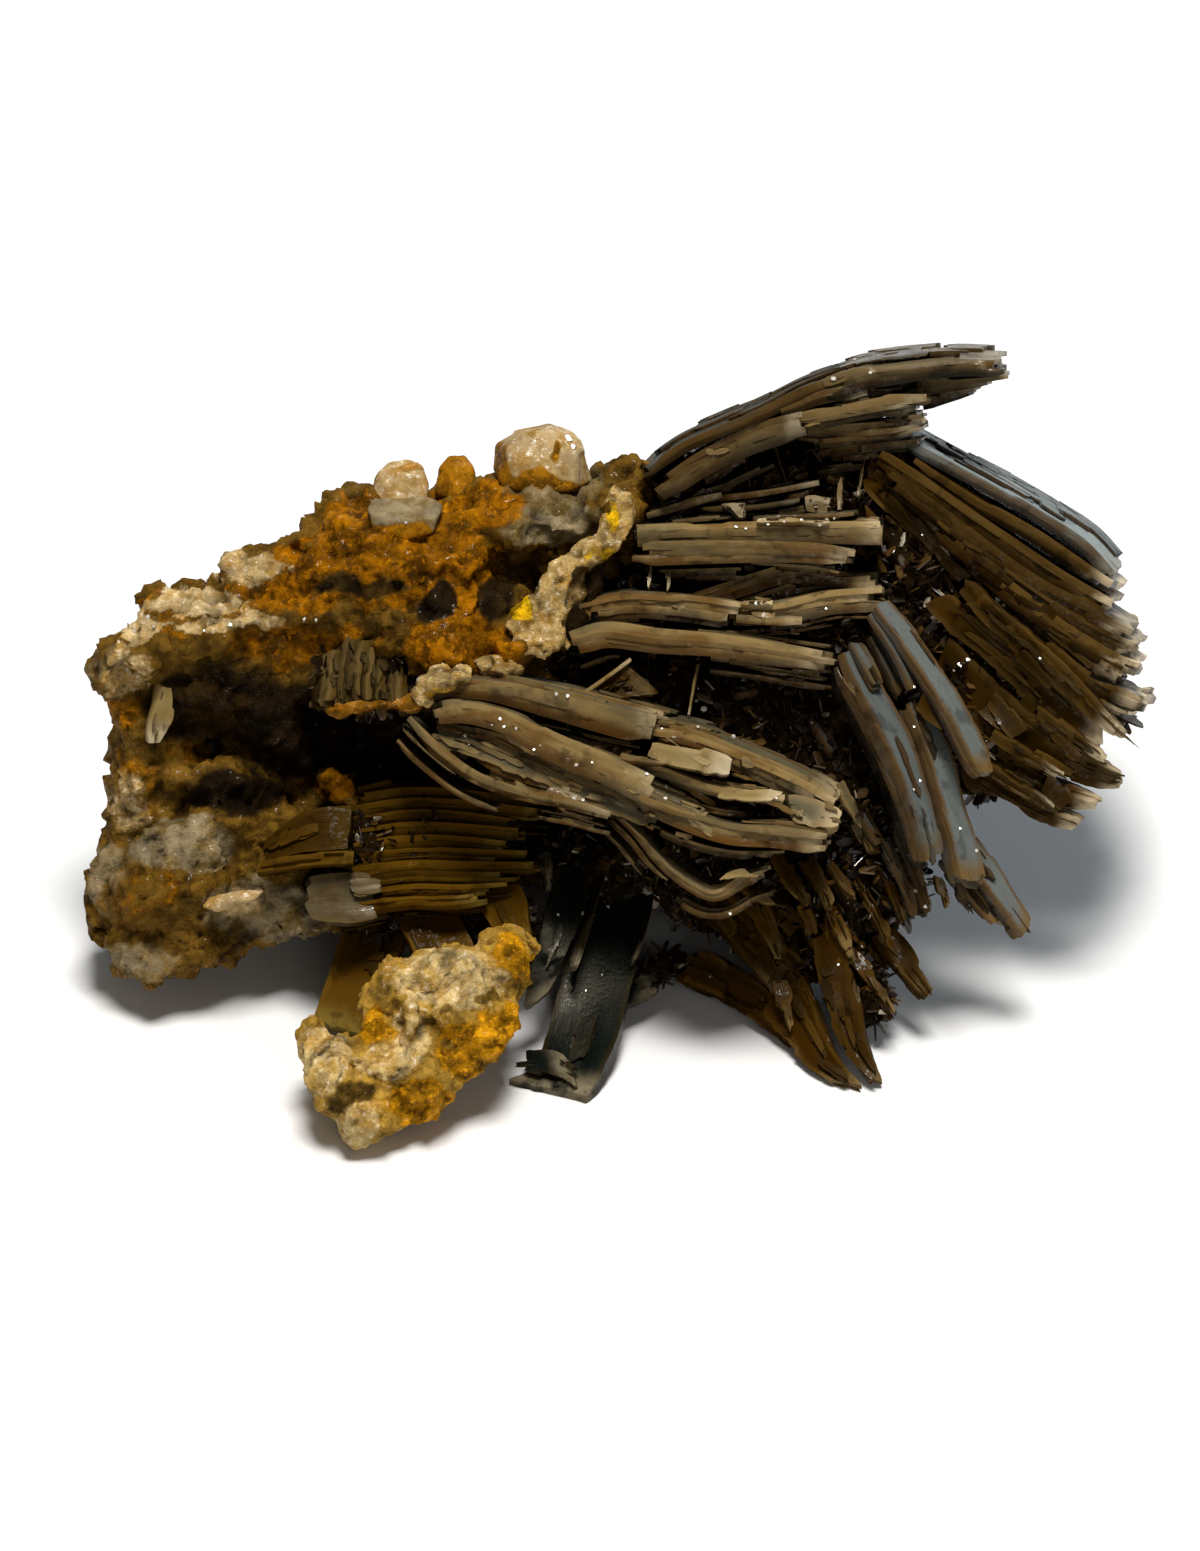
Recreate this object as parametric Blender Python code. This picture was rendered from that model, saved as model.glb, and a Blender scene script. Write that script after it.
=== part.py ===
"""Bladed barite on ochre host rock: fanned books of tabular crystals, a porous ochre knob and a broken foot.

The crystals are laid out on the specimen's show face, a plane that leans back by LEAN from upright. A station
on it is (across, down, out): millimetres right of and below the face's top left datum, and millimetres out of
the face toward the front. Sight lines meet SIGHT in front of the face, so stations farther out sit closer in.
"""

import math

import bmesh
import bpy
from mathutils import Vector, noise

for old in list(bpy.data.objects):
    bpy.data.objects.remove(old)

MM = 0.001
LEAN = math.radians(35.0)
SIGHT = 800.0
DATUM = (60.0, 77.5)
FLOOR_DROP = 21.0
MIDDLE_X, MIDDLE_Y = 2.436, 4.872
GAP = 0.32
FLAT = math.radians(3.0)
COLOURS = {
    "host_rock": (0.46, 0.27, 0.07),
    "ochre_knob": (0.66, 0.45, 0.16),
    "crust_ridge": (0.52, 0.38, 0.20),
    "grey_tan_barite": (0.30, 0.26, 0.19),
    "blue_grey_barite": (0.27, 0.28, 0.26),
    "brown_barite": (0.17, 0.11, 0.05),
    "amber_barite": (0.28, 0.18, 0.04),
    "dark_barite": (0.07, 0.09, 0.08),
    "olive_barite": (0.22, 0.16, 0.05),
    "pale_barite": (0.62, 0.56, 0.40),
}

# Each blade: front rail stations, the step (or rail) across to its other long edge, and its thickness.
CROWN = [
    ([(65.0, 47.3, 5), (70, 44.2, 5.5), (76, 40.9, 6), (82, 38.2, 6.5), (90, 37.0, 7), (100.2, 36.5, 6)],
     (0.4, -1.6, -22), (1.1, 2.0)),
    ([(77, 41.3, 6.5), (82, 39.9, 7), (88, 38.6, 7.3), (91, 38.2, 7)], (0.3, -0.6, -14), (1.2, 1.2)),
    ([(65.6, 48.9, 4.5), (70, 46.3, 5), (76, 43.6, 5.6), (82, 41.4, 6), (88, 39.9, 6.4), (92.5, 39.5, 6.2)],
     (0.5, -1.0, -20), (1.2, 2.2)),
    ([(80.5, 43.6, 5), (86, 42.4, 5.2), (92, 42.0, 5)], (0.3, -0.4, -14), (1.5, 1.7)),
    ([(91, 40.2, 2.2), (96, 38.7, 2.6), (100.6, 37.3, 2.5)], (0.4, -0.8, -12), (2.0, 1.2)),
    ([(64.9, 51.2, 3), (68, 50.0, 3.2), (76, 48.6, 3)], (0.5, -0.6, -10), (0.9, 0.8)),
]
MIDDLE = [
    ([(64.0, 52.4, 8), (70, 52.3, 8.4), (80, 52.2, 8.6), (88.2, 52.1, 8.4)], (0, -0.6, -16), (1.7, 1.7)),
    ([(63.3, 54.0, 9.4), (70, 54.0, 9.8), (78, 54.3, 9.8), (83.5, 54.9, 9.4)], (0, -0.5, -12), (1.9, 1.6)),
    ([(70.5, 59.0, 6.5), (76, 57.4, 7), (83, 56.2, 7.2)], (0, -0.5, -12), (1.3, 1.5)),
    ([(57.8, 61.2, 8.5), (62, 60.2, 9), (69, 60.2, 9.4), (78, 60.3, 9.6), (86, 59.0, 8.6)],
     (0.2, -0.9, -16), (1.5, 1.9)),
    ([(56.8, 63.0, 10), (60, 62.1, 10.4), (68, 62.6, 10.8), (76, 63.6, 11), (83, 65.0, 10.6)],
     (0.2, -0.6, -16), (2.0, 1.8)),
    ([(71, 65.5, 9.6), (76, 65.9, 9.8), (81, 66.2, 9.6)], (0, -0.4, -8), (1.4, 1.2)),
]
FRONT = [
    ([(49, 66.6, 10), (54, 67.8, 11), (60, 69.2, 11.5)], (0, -0.4, -9), (1.1, 1.1)),
    ([(42.5, 69.0, 10.5), (47, 67.8, 12), (54, 68.9, 14), (62, 70.6, 15.4), (70, 72.4, 16.4), (78, 76.0, 16.4),
      (84, 79.6, 15.6)], (0.6, -1.0, -10), (1.8, 3.8)),
    ([(43.0, 71.0, 11.5), (48, 71.6, 13.5), (55, 74.4, 15.6), (62, 77.6, 17.2), (70, 81.6, 18.0),
      (78, 83.8, 17.8), (83, 84.1, 17.0)], (0.5, -0.8, -10), (2.4, 2.2)),
    ([(41.2, 71.6, 10.6), (44, 74.4, 12.4), (48, 77.3, 14), (53, 78.4, 15), (58.5, 79.0, 15.4)],
     (0.5, -0.5, -10), (1.4, 1.4)),
    ([(61, 80.6, 13.4), (64, 83.2, 14), (67.5, 86.6, 14.4), (70.5, 88.6, 14.4), (73, 87.8, 14.2),
      (76, 87.0, 13.8)], (1, -1.2, -7), (0.8, 1.2)),
]
ARCH = [
    ([(87.2, 60.5, 9), (90.5, 64.5, 11), (94.5, 70.5, 12.6), (97.0, 76.0, 13)],
     [(89.5, 60.0, 6), (93, 63.0, 8), (97.0, 69.5, 9.6), (99.5, 76.5, 10.4)], (1.2, 1.2)),
    ([(86.0, 63.0, 10), (88.5, 66.5, 11.2), (91.0, 71.0, 12)],
     [(88.2, 62.4, 7.5), (90.6, 66.0, 8.8), (92.8, 70.5, 9.8)], (1.0, 1.0)),
    ([(84.6, 62.8, 10.6), (86.0, 65.8, 11.4), (87.4, 68.8, 11.8)],
     [(86.4, 62.4, 8.6), (87.6, 65.2, 9.6), (88.6, 68.2, 10)], (1.2, 1.2)),
    ([(84.2, 65.0, 11.6), (86.6, 70.6, 13.0), (89.0, 76.0, 13.8), (91.2, 81.0, 14.2), (92.9, 87.0, 14.2)],
     [(86.6, 65.0, 7), (90.2, 71.0, 8.8), (92.4, 77.0, 10.2), (93.6, 81.5, 11), (94.2, 86.0, 11.4)], (2.2, 2.4)),
    ([(90.4, 71.5, 10), (92.4, 77.0, 11), (94.6, 82.0, 11.6), (96.2, 87.2, 11.6)],
     [(91.6, 68.5, 6), (95.2, 75.6, 7.4), (97.2, 82.0, 8.2), (98.4, 87.0, 8.4)], (1.8, 1.8)),
    ([(94.6, 83.4, 7.6), (98.8, 89.0, 7.2), (101.8, 93.2, 6.4)],
     [(97.6, 83.0, 4.4), (100.6, 88.4, 4.2), (104.0, 92.6, 3.4)], (1.8, 1.6)),
    ([(79.2, 68.0, 3), (82.6, 74.4, 4.4), (85.2, 79.0, 5.4), (87.6, 84.0, 7.6)],
     [(80.0, 67.8, -4), (83.4, 74.2, -2.6), (86.2, 78.8, -1.6), (88.4, 84.0, 0.6)], (0.8, 0.8)),
]
RIGHT_FAN = [
    ([(89.8, 43.6, 3), (94, 46.2, 3.5), (99, 49.6, 4), (104, 52.9, 4), (109.5, 57.0, 3.4)],
     (1.3, -1.3, -24), (1.1, 1.1)),
    ([(89.2, 45.0, 4), (95, 49.0, 4.8), (101, 53.2, 5), (108, 58.2, 4.6)], (1.0, -1.0, -20), (1.2, 1.2)),
    ([(88.8, 46.6, 5), (94, 50.6, 5.6), (100, 55.0, 6), (107, 59.6, 5.4), (113.4, 63.0, 4)],
     (1.0, -1.2, -20), (1.2, 1.4)),
    ([(94, 53.0, 6), (102, 59.2, 6.4), (108, 63.4, 6), (114.0, 66.8, 4.6)], (0.9, -1.2, -18), (1.3, 1.5)),
    ([(95, 55.6, 6), (104, 63.0, 6.6), (110, 68.0, 6), (114.8, 70.6, 4.6)], (0.9, -1.2, -18), (1.3, 1.5)),
    ([(95.6, 56.8, 8), (99, 59.6, 8.6), (104.5, 65.4, 8.6), (110.5, 71.6, 7.4), (114.5, 75.2, 5.6)],
     [(93.4, 60.0, 3), (95.4, 66.6, 3.4), (100, 71.4, 3.4), (106, 74.0, 3), (113.2, 75.6, 3)], (1.3, 1.2)),
    ([(95.4, 63.5, 8.2), (101, 69.8, 8.8), (106.5, 75.2, 8.4), (112.2, 78.2, 6.2)],
     [(94.4, 69, 3.6), (97.5, 74.5, 3.6), (102, 78.8, 3.6), (107.5, 80.6, 3.6)], (1.2, 1.2)),
    ([(94.6, 68.4, 8.8), (99, 74.6, 9.2), (105, 79.4, 8.8), (110.0, 81.0, 7)],
     [(94.4, 74, 4.2), (97.5, 78.2, 4), (101.4, 80.2, 4), (106, 81.8, 4)], (1.2, 1.2)),
    ([(94.4, 73.2, 9.2), (99, 78.2, 9.4), (104, 81.2, 9), (108.2, 82.3, 7.6)],
     [(95, 77.4, 5), (98.6, 79.2, 4.6), (102.4, 81.4, 4.6), (106.4, 82.8, 4.6)], (1.1, 1.1)),
]
LOWER_FAN = [
    ([(80.5, 94, 3), (82.0, 100, 5), (84.0, 105, 7), (87.2, 108.7, 9.0)],
     [(83.6, 92, 3.5), (86.2, 99, 5.6), (86.4, 103.5, 7.4), (88.4, 107.9, 8.6)], (1.8, 1.4)),
    ([(74.6, 101.8, 1.8), (77.7, 104.3, 4.0), (81.0, 107.3, 6.8), (83.8, 108.7, 8.8)],
     [(78.5, 95, 2.2), (81.5, 100.5, 4.4), (83.4, 105, 6.8), (85.6, 108.0, 8.8)], (2.0, 1.6)),
    ([(67.2, 98.2, -4), (70.6, 99.6, -2.2), (74.6, 102.0, 0.4), (78.2, 104.6, 3.2)],
     [(69, 93.5, -4), (73, 96, -2), (77, 98.5, 1), (80, 101.5, 3.4)], (2.0, 2.0)),
    ([(69.5, 90.5, -1), (73, 95.5, 1.4), (77.5, 100, 3.4)],
     [(74.0, 88, 0), (77.8, 93, 2.4), (79.4, 97, 3.8)], (2.0, 2.0)),
    ([(85.0, 91.4, 1), (89, 96.5, 2.4), (92.6, 99.8, 2.6)],
     [(88.5, 91.0, 1.4), (91.2, 95, 2.6), (93.4, 99.2, 2.8)], (1.8, 1.6)),
    ([(77.0, 85.6, 1), (79.6, 88, 2.6), (82.6, 90.8, 4.0)],
     [(78.4, 85.0, -1.4), (81.0, 87.4, 0), (83.4, 90.2, 1.4)], (1.4, 1.4)),
    ([(81, 86, 4), (83.6, 88, 5.2), (85.6, 90.0, 5.6)],
     [(82.4, 85.4, 2), (85.0, 87.4, 3), (86.8, 89.6, 3.6)], (1.3, 1.3)),
    ([(81.6, 90.6, 3.6), (83.4, 93.4, 5), (85.0, 96.2, 5.6)],
     [(83.2, 90.0, 1.6), (85.2, 92.8, 3), (86.6, 95.6, 3.6)], (1.4, 1.4)),
]
DARK = [
    ([(57.6, 88, -2), (56.0, 98, 3), (54.4, 104, 5.6), (50.6, 107.5, 7.4)],
     [(65.2, 88, -3), (63.8, 96, 1.4), (61.6, 102, 5), (58.3, 110.1, 11.0)], (1.9, 1.6)),
    ([(55.8, 88, 2), (53.4, 95, 5), (52.0, 101, 7)],
     [(59.4, 87.4, 1), (57.6, 93, 4), (54.6, 99.6, 7)], (1.5, 1.5)),
    ([(60.6, 87, 2), (58.8, 93, 4.4), (57.6, 97, 5.6)], (0.9, 0.3, -4), (0.9, 0.9)),
    ([(61.6, 97.8, 0.6), (67.2, 96.9, -1.4)], [(61.4, 101.4, 3.4), (66.2, 98.9, 0.4)], (1.4, 1.4)),
]
STRIATED = [
    ([(36.5, 79.6, 1), (44, 78.2, 2), (50, 79.2, 2.4), (54.2, 80.8, 2)],
     [(36, 83, 3), (44, 82.4, 4), (50, 82.8, 4.2), (54.0, 82.2, 3.4)], (2.4, 2.0)),
    ([(36, 82.6, 2.4), (44, 82.0, 3.4), (51, 83.0, 3.6)],
     [(35.6, 88, 5), (43, 86.6, 5.4), (50.6, 84.6, 4.8)], (2.4, 2.0)),
    ([(35.6, 86.4, 3.6), (44, 84.4, 4.8), (52.4, 85.6, 4.6)],
     [(35.6, 90, 5.8), (44, 87.8, 6.2), (52.4, 87.0, 5.2)], (2.2, 1.8)),
    ([(36, 88.6, 4.4), (45, 86.6, 5.8), (53, 87.6, 5.6)],
     [(37, 91.6, 5.4), (43, 91.0, 6), (52.8, 89.2, 5.8)], (2.0, 1.6)),
    ([(25.5, 83.5, 3), (30, 81.5, 3.6), (34.8, 80.2, 4)],
     [(26, 87, 5.4), (30.4, 86.4, 6), (35.0, 85.6, 6.2)], (4.0, 4.0)),
    ([(34.8, 91, -1), (32.8, 97.2, 1.4), (31.4, 101.6, 3.4)],
     [(41.4, 91, 0), (38.8, 98, 2.4), (36.2, 103.6, 4.9)], (2.0, 1.8)),
    ([(38.6, 90, 2.6), (41.6, 96, 5.2), (43.0, 102, 8.6)],
     [(44.6, 89, 2.2), (47.6, 95, 4.8), (48.6, 101, 8.2)], (2.4, 2.4)),
]
BUNDLE = [
    ([(32.6, 64.2, 5.4), (32.0, 70.4, 7.4)], (2.0, 0.0, -1.0), (3.0, 3.0)),
    ([(34.2, 64.0, 5.8), (33.8, 70.6, 7.6)], (2.4, 0.2, -1.0), (3.0, 3.0)),
    ([(36.2, 63.4, 6.4), (35.6, 70.8, 8.4)], (2.4, 0.0, -1.2), (3.4, 3.4)),
    ([(38.2, 63.8, 6.2), (37.8, 70.4, 8.2)], (2.2, 0.2, -1.0), (3.2, 3.2)),
    ([(39.8, 65.6, 6.2), (39.4, 70.2, 8.0)], (1.8, 0.4, -1.6), (3.0, 3.0)),
]
RIDGE = [
    ([(62.9, 48.6, 7), (62.8, 51.8, 8.4), (61.2, 54.4, 9), (58.4, 55.0, 9.4), (55.8, 57.0, 10),
      (54.8, 60.6, 10.6), (54.2, 63.4, 11), (52.4, 65.4, 11)],
     (1.1, 0.8, -9), (2.4, 2.2)),
]
PALE = [([(15.9, 68.0, 3), (14.8, 71.6, 4), (14.6, 74.6, 4)],
         [(17.4, 67.6, 1.6), (17.4, 71.4, 2.6), (16.0, 74.6, 2.8)], (1.8, 1.6))]
AMBER = [([(58.5, 69.0, 8.8), (62.8, 66.4, 9)], [(60.2, 70.6, 10.6), (66.0, 69.4, 10.6)], (1.2, 1.2))]
BACK = [
    ([(44, 62, -17), (56, 55, -20), (66, 52, -20)], (4, 3.0, -18), (1.8, 1.6)),
    ([(43, 67, -19), (56, 60, -23), (68, 56.5, -24)], (4, 4.0, -17), (2.0, 1.8)),
    ([(44, 72, -22), (56, 65.5, -26), (70, 61.6, -27)], (3, 4.0, -15), (2.2, 2.0)),
]
# Each lump: centre station, half sizes across, up and out, and the number that shapes its lumps.
HEARTS = {
    "crown_blades": [((76.6, 46.4, -7), (8.6, 4.2, 5), 1), ((86, 45.6, -9), (7, 6.4, 6), 2)],
    "middle_blades": [((71, 58.6, -5), (12, 7.4, 6), 3)],
    "front_blades": [((55, 74.0, 4.5), (10, 5.0, 5), 5), ((69, 79.5, 6), (9, 6.0, 5), 6)],
    "arch_blades": [((88, 67, 2.6), (4.2, 5, 3.4), 7), ((92, 74, 4.4), (4.4, 5.6, 3.6), 8),
                    ((94, 82, 5.6), (4.4, 5, 3.6), 9), ((86.6, 79, 4), (4, 5, 3), 10)],
    "right_fan_blades": [((92.6, 54, -6), (5, 10.4, 7), 11), ((98.6, 70, 0.6), (5.4, 10, 5.4), 13)],
    "lower_fan_blades": [((77, 91, -5), (8, 5, 6), 14), ((84, 95, -1.4), (5, 5.4, 5), 15),
                         ((87.4, 100, 2.4), (2.4, 3.6, 2.4), 16)],
    "dark_blades": [((59.6, 88.6, -4), (4.6, 4.4, 5), 17)],
    "striated_blades": [((37.4, 87, -0.6), (7.4, 5.6, 4), 18)],
    "small_bundle": [((37, 67.4, 2.6), (5, 3.4, 3.2), 20)],
    "back_blades": [((57, 64, -29), (9, 6.6, 5.5), 21)],
}
ROCK = [
    ((40, 57, 0), (10, 7.8, 9), 30), ((26.6, 61.6, -1), (11, 7.0, 8), 31), ((15.4, 65.0, 0), (6.4, 6.0, 6), 32),
    ((55, 54.4, -4), (10.4, 7.6, 9), 33), ((46, 63, 2), (8.5, 5.4, 6), 34), ((57, 66, -21), (21, 13, 12), 35),
    ((55, 75, -25), (26, 14, 14), 36), ((32, 75, -14), (17, 13, 12), 37), ((17.2, 90, -3), (8.8, 8.0, 7.5), 38),
    ((27, 87.6, -3.6), (9, 6.4, 6.2), 39), ((13.8, 76, -3), (3.6, 10, 5), 40), ((79, 61, -19), (12, 12, 10), 43),
    ((78, 78, -18), (12, 12, 11), 44), ((58, 80, -13), (13, 10, 8.4), 45), ((46, 53.0, -4), (7, 5, 7), 46),
    ((30, 65, -9), (15, 8, 7), 48),
]
KNOB = [
    ((42.8, 102.8, 13.5), (8.8, 8.0, 6.0), 50), ((50.0, 96.8, 11.6), (3.9, 4.0, 4.2), 51),
    ((39.0, 98.6, 12), (3.0, 3.0, 3.6), 52), ((35.0, 107.4, 15), (5.0, 6.4, 5.0), 53),
    ((36.4, 112.0, 16.6), (2.9, 3.2, 2.8), 54), ((45.6, 98.2, 12.2), (5, 3.8, 4.4), 55),
    ((48.6, 101.4, 12.2), (3.6, 4.2, 4.6), 56),
]
CRYSTALS = {
    "block_crystal": (((54.6, 46.2, -2), (5.2, 3.9, 4.2), 60), "pale_barite"),
    "round_crystal": (((39.8, 49.0, -2), (3.0, 2.9, 3.0), 61), "pale_barite"),
    "orange_crystal": (((45.3, 48.4, -3), (2.5, 2.8, 2.6), 62), "amber_barite"),
    "ledge_crystal": (((39.6, 51.6, 5.6), (4.2, 2.3, 3.4), 63), "blue_grey_barite"),
    "lens_crystal": (((23.0, 89.8, 4.0), (3.9, 1.5, 2.2), 64), "pale_barite"),
}
BOOKS = [
    ("front_blades", FRONT, "grey_tan_barite"),
    ("arch_blades", ARCH, "blue_grey_barite"),
    ("middle_blades", MIDDLE, "grey_tan_barite"),
    ("crown_blades", CROWN, "grey_tan_barite"),
    ("right_fan_blades", RIGHT_FAN, "brown_barite"),
    ("lower_fan_blades", LOWER_FAN, "amber_barite"),
    ("dark_blades", DARK, "dark_barite"),
    ("striated_blades", STRIATED, "olive_barite"),
    ("small_bundle", BUNDLE, "grey_tan_barite"),
    ("crust_ridge", RIDGE, "crust_ridge"),
    ("pale_blade", PALE, "pale_barite"),
    ("amber_crystal", AMBER, "amber_barite"),
    ("back_blades", BACK, "brown_barite"),
]


def place(station):
    """World position of a show-face station."""
    x, y, out = station
    near = 1 - out / SIGHT
    across, up = (x - DATUM[0]) * near, (DATUM[1] - y) * near
    return Vector((across - MIDDLE_X, up * math.sin(LEAN) - out * math.cos(LEAN) - MIDDLE_Y,
                   up * math.cos(LEAN) + out * math.sin(LEAN) + FLOOR_DROP)) * MM


OUTWARD = Vector((0, -math.cos(LEAN), math.sin(LEAN)))


def solid(name, verts, faces):
    """An object from lists of corners and faces, facing out."""
    mesh = bpy.data.meshes.new(name)
    mesh.from_pydata(verts, [], faces)
    work = bmesh.new()
    work.from_mesh(mesh)
    bmesh.ops.recalc_face_normals(work, faces=work.faces)
    work.to_mesh(mesh)
    work.free()
    obj = bpy.data.objects.new(name, mesh)
    bpy.context.scene.collection.objects.link(obj)
    return obj


def blade(rail, other, thick, grow=0.0):
    """A tabular crystal: a strip between two long edges, given thickness on the side away from the front."""
    near = [place(s) for s in rail]
    if isinstance(other, tuple):
        other = [tuple(a + b for a, b in zip(s, other)) for s in rail]
    far = [place(s) for s in other]
    count = len(near)
    corners = []
    for i in range(count):
        along = (near[min(i + 1, count - 1)] - near[max(i - 1, 0)]).normalized()
        across = (far[i] - near[i]).normalized()
        normal = along.cross(across).normalized()
        if normal.dot(OUTWARD) < 0:
            normal.negate()
        g = grow * MM
        end = along * g * ((i == count - 1) - (i == 0))
        a, b = near[i] - across * g + end + normal * g, far[i] + across * g + end + normal * g
        share = i / (count - 1)
        drop = normal * ((thick[0] * (1 - share) + thick[1] * share) * MM + 2 * g)
        corners += [a, b, b - drop, a - drop]
    faces = [(0, 1, 2, 3), tuple(4 * (count - 1) + k for k in (3, 2, 1, 0))]
    for i in range(count - 1):
        for k in range(4):
            m = (k + 1) % 4
            faces.append((4 * i + k, 4 * i + 4 + k, 4 * i + 4 + m, 4 * i + m))
    return solid("blade", corners, faces)


def lump(centre, half, seed, grow=0.0, detail=2):
    """A rough mass with flat broken sides: a ball cut back by a few planes set by its number."""
    work = bmesh.new()
    bmesh.ops.create_icosphere(work, subdivisions=detail, radius=1.0)
    middle, shift = place(centre), Vector((seed * 3.7, seed * 1.3, seed * 2.1))
    noise.seed_set(seed)
    sides = [noise.random_unit_vector() for _ in range(9)]
    for v in work.verts:
        rough = 1 + 0.16 * noise.noise(v.co * 1.3 + shift)
        v.co *= rough * min([1.0] + [0.80 / max(v.co.normalized().dot(n), 0.01) for n in sides])
    full = [max(abs(v.co[k]) for v in work.verts) for k in range(3)]
    for v in work.verts:
        x, back, up = (c / f * (h + grow) * MM for c, f, h in zip(v.co, full, (half[0], half[2], half[1])))
        v.co = middle + Vector((x, 0, 0)) - OUTWARD * back + Vector((0, math.sin(LEAN), math.cos(LEAN))) * up
    mesh = bpy.data.meshes.new("lump")
    work.to_mesh(mesh)
    work.free()
    obj = bpy.data.objects.new("lump", mesh)
    bpy.context.scene.collection.objects.link(obj)
    return obj


def boolean(target, tool, operation):
    """Joins or cuts with the exact solver and takes the tool away."""
    step = target.modifiers.new("step", "BOOLEAN")
    step.operation, step.solver, step.object = operation, "EXACT", tool
    shaped = bpy.data.meshes.new_from_object(target.evaluated_get(bpy.context.evaluated_depsgraph_get()))
    target.modifiers.clear()
    old, target.data = target.data, shaped
    bpy.data.meshes.remove(old)
    bpy.data.meshes.remove(tool.data)
    return target


def grow_pieces(blades, lumps, grow=0.0):
    """Every crystal and lump of a book as loose solids."""
    return [blade(*b, grow=grow) for b in blades] + [lump(*one, grow=grow) for one in lumps]


def fuse(name, pieces):
    """One solid from overlapping pieces."""
    body, *rest = pieces
    for piece in rest:
        boolean(body, piece, "UNION")
    body.name = body.data.name = name
    return body


def near_box(obj, piece):
    """Whether two objects' boxes meet."""
    def box(o):
        cs = [o.matrix_world @ Vector(c) for c in o.bound_box]
        return [(min(c[k] for c in cs), max(c[k] for c in cs)) for k in range(3)]
    return all(a[0] <= b[1] and b[0] <= a[1] for a, b in zip(box(obj), box(piece)))


def cut_clear(obj, pieces):
    """Cuts every grown neighbour out of obj."""
    for piece in pieces:
        bpy.context.view_layer.update()
        if near_box(obj, piece):
            boolean(obj, piece, "DIFFERENCE")
        else:
            bpy.data.meshes.remove(piece.data)


def keep_largest(obj):
    """Drops the crumbs a cut leaves, then welds and tidies the surface."""
    work = bmesh.new()
    work.from_mesh(obj.data)
    bmesh.ops.remove_doubles(work, verts=work.verts, dist=0.000004)
    bmesh.ops.dissolve_degenerate(work, edges=work.edges, dist=0.000004)
    todo, groups = set(work.verts), []
    while todo:
        stack, group = [todo.pop()], []
        while stack:
            v = stack.pop()
            group.append(v)
            for e in v.link_edges:
                other = e.other_vert(v)
                if other in todo:
                    todo.remove(other)
                    stack.append(other)
        groups.append(group)
    groups.sort(key=len)
    for group in groups[:-1]:
        bmesh.ops.delete(work, geom=group, context="VERTS")
    bmesh.ops.dissolve_limit(work, angle_limit=FLAT, verts=work.verts, edges=work.edges)
    bmesh.ops.triangulate(work, faces=work.faces)
    bmesh.ops.recalc_face_normals(work, faces=work.faces)
    work.to_mesh(obj.data)
    work.free()
    print(obj.name, "pieces dropped", len(groups) - 1, "triangles", len(obj.data.polygons))


def floor_box():
    """A slab just under the ground that trims the feet flat."""
    size = 0.4
    lo, hi = Vector((-size, -size, -0.05)), Vector((size, size, 0.0))
    verts = [(x, y, z) for z in (lo.z, hi.z) for y in (lo.y, hi.y) for x in (lo.x, hi.x)]
    faces = [(0, 1, 3, 2), (4, 6, 7, 5), (0, 4, 5, 1), (2, 3, 7, 6), (0, 2, 6, 4), (1, 5, 7, 3)]
    return solid("ground", verts, faces)


def finish(name):
    """A plain material in the barite's own colour."""
    mat = bpy.data.materials.get(name)
    if mat is None:
        mat = bpy.data.materials.new(name)
        mat.use_nodes = True
        shader = mat.node_tree.nodes["Principled BSDF"]
        shader.inputs["Base Color"].default_value = (*COLOURS[name], 1)
        shader.inputs["Roughness"].default_value = 0.8 if "barite" not in name else 0.3
    return mat


def add_node(name, pieces, earlier, slot, floor=False):
    """Builds one node, clear of every node before it."""
    body = fuse(name, pieces)
    for blades, lumps in earlier:
        cut_clear(body, grow_pieces(blades, lumps, GAP))
    if floor:
        boolean(body, floor_box(), "DIFFERENCE")
    keep_largest(body)
    body.data.materials.clear()
    body.data.materials.append(finish(slot))


done = []
for name, spec, slot in BOOKS:
    lumps = HEARTS.get(name, [])
    add_node(name, grow_pieces(spec, lumps), done, slot, floor=name in ("dark_blades", "lower_fan_blades"))
    done.append((spec, lumps))
add_node("ochre_knob", grow_pieces([], KNOB), done, "ochre_knob", floor=True)
done.append(([], KNOB))
for name, (spec, slot) in CRYSTALS.items():
    add_node(name, grow_pieces([], [spec]), done, slot)
    done.append(([], [spec]))
add_node("host_rock", grow_pieces([], ROCK), done, "host_rock", floor=True)
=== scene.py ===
# %% [markdown]
# # Bladed barite on ochre rock
# A hand specimen: thin tabular crystals have grown side by side in fanned books, like the pages of books
# left open, on a porous rock that iron has stained orange. It could be sculpted by hand, but a crystal
# follows rules, so each one is built by a rule instead: a plate that is broken back layer by layer, the
# way barite really splits. The rock is a mass of lumps, roughened twice. First comes the solid model, as
# a fixed frame to build in.

import itertools
import math

import bmesh
import bpy
import numpy as np
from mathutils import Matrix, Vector, noise


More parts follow.
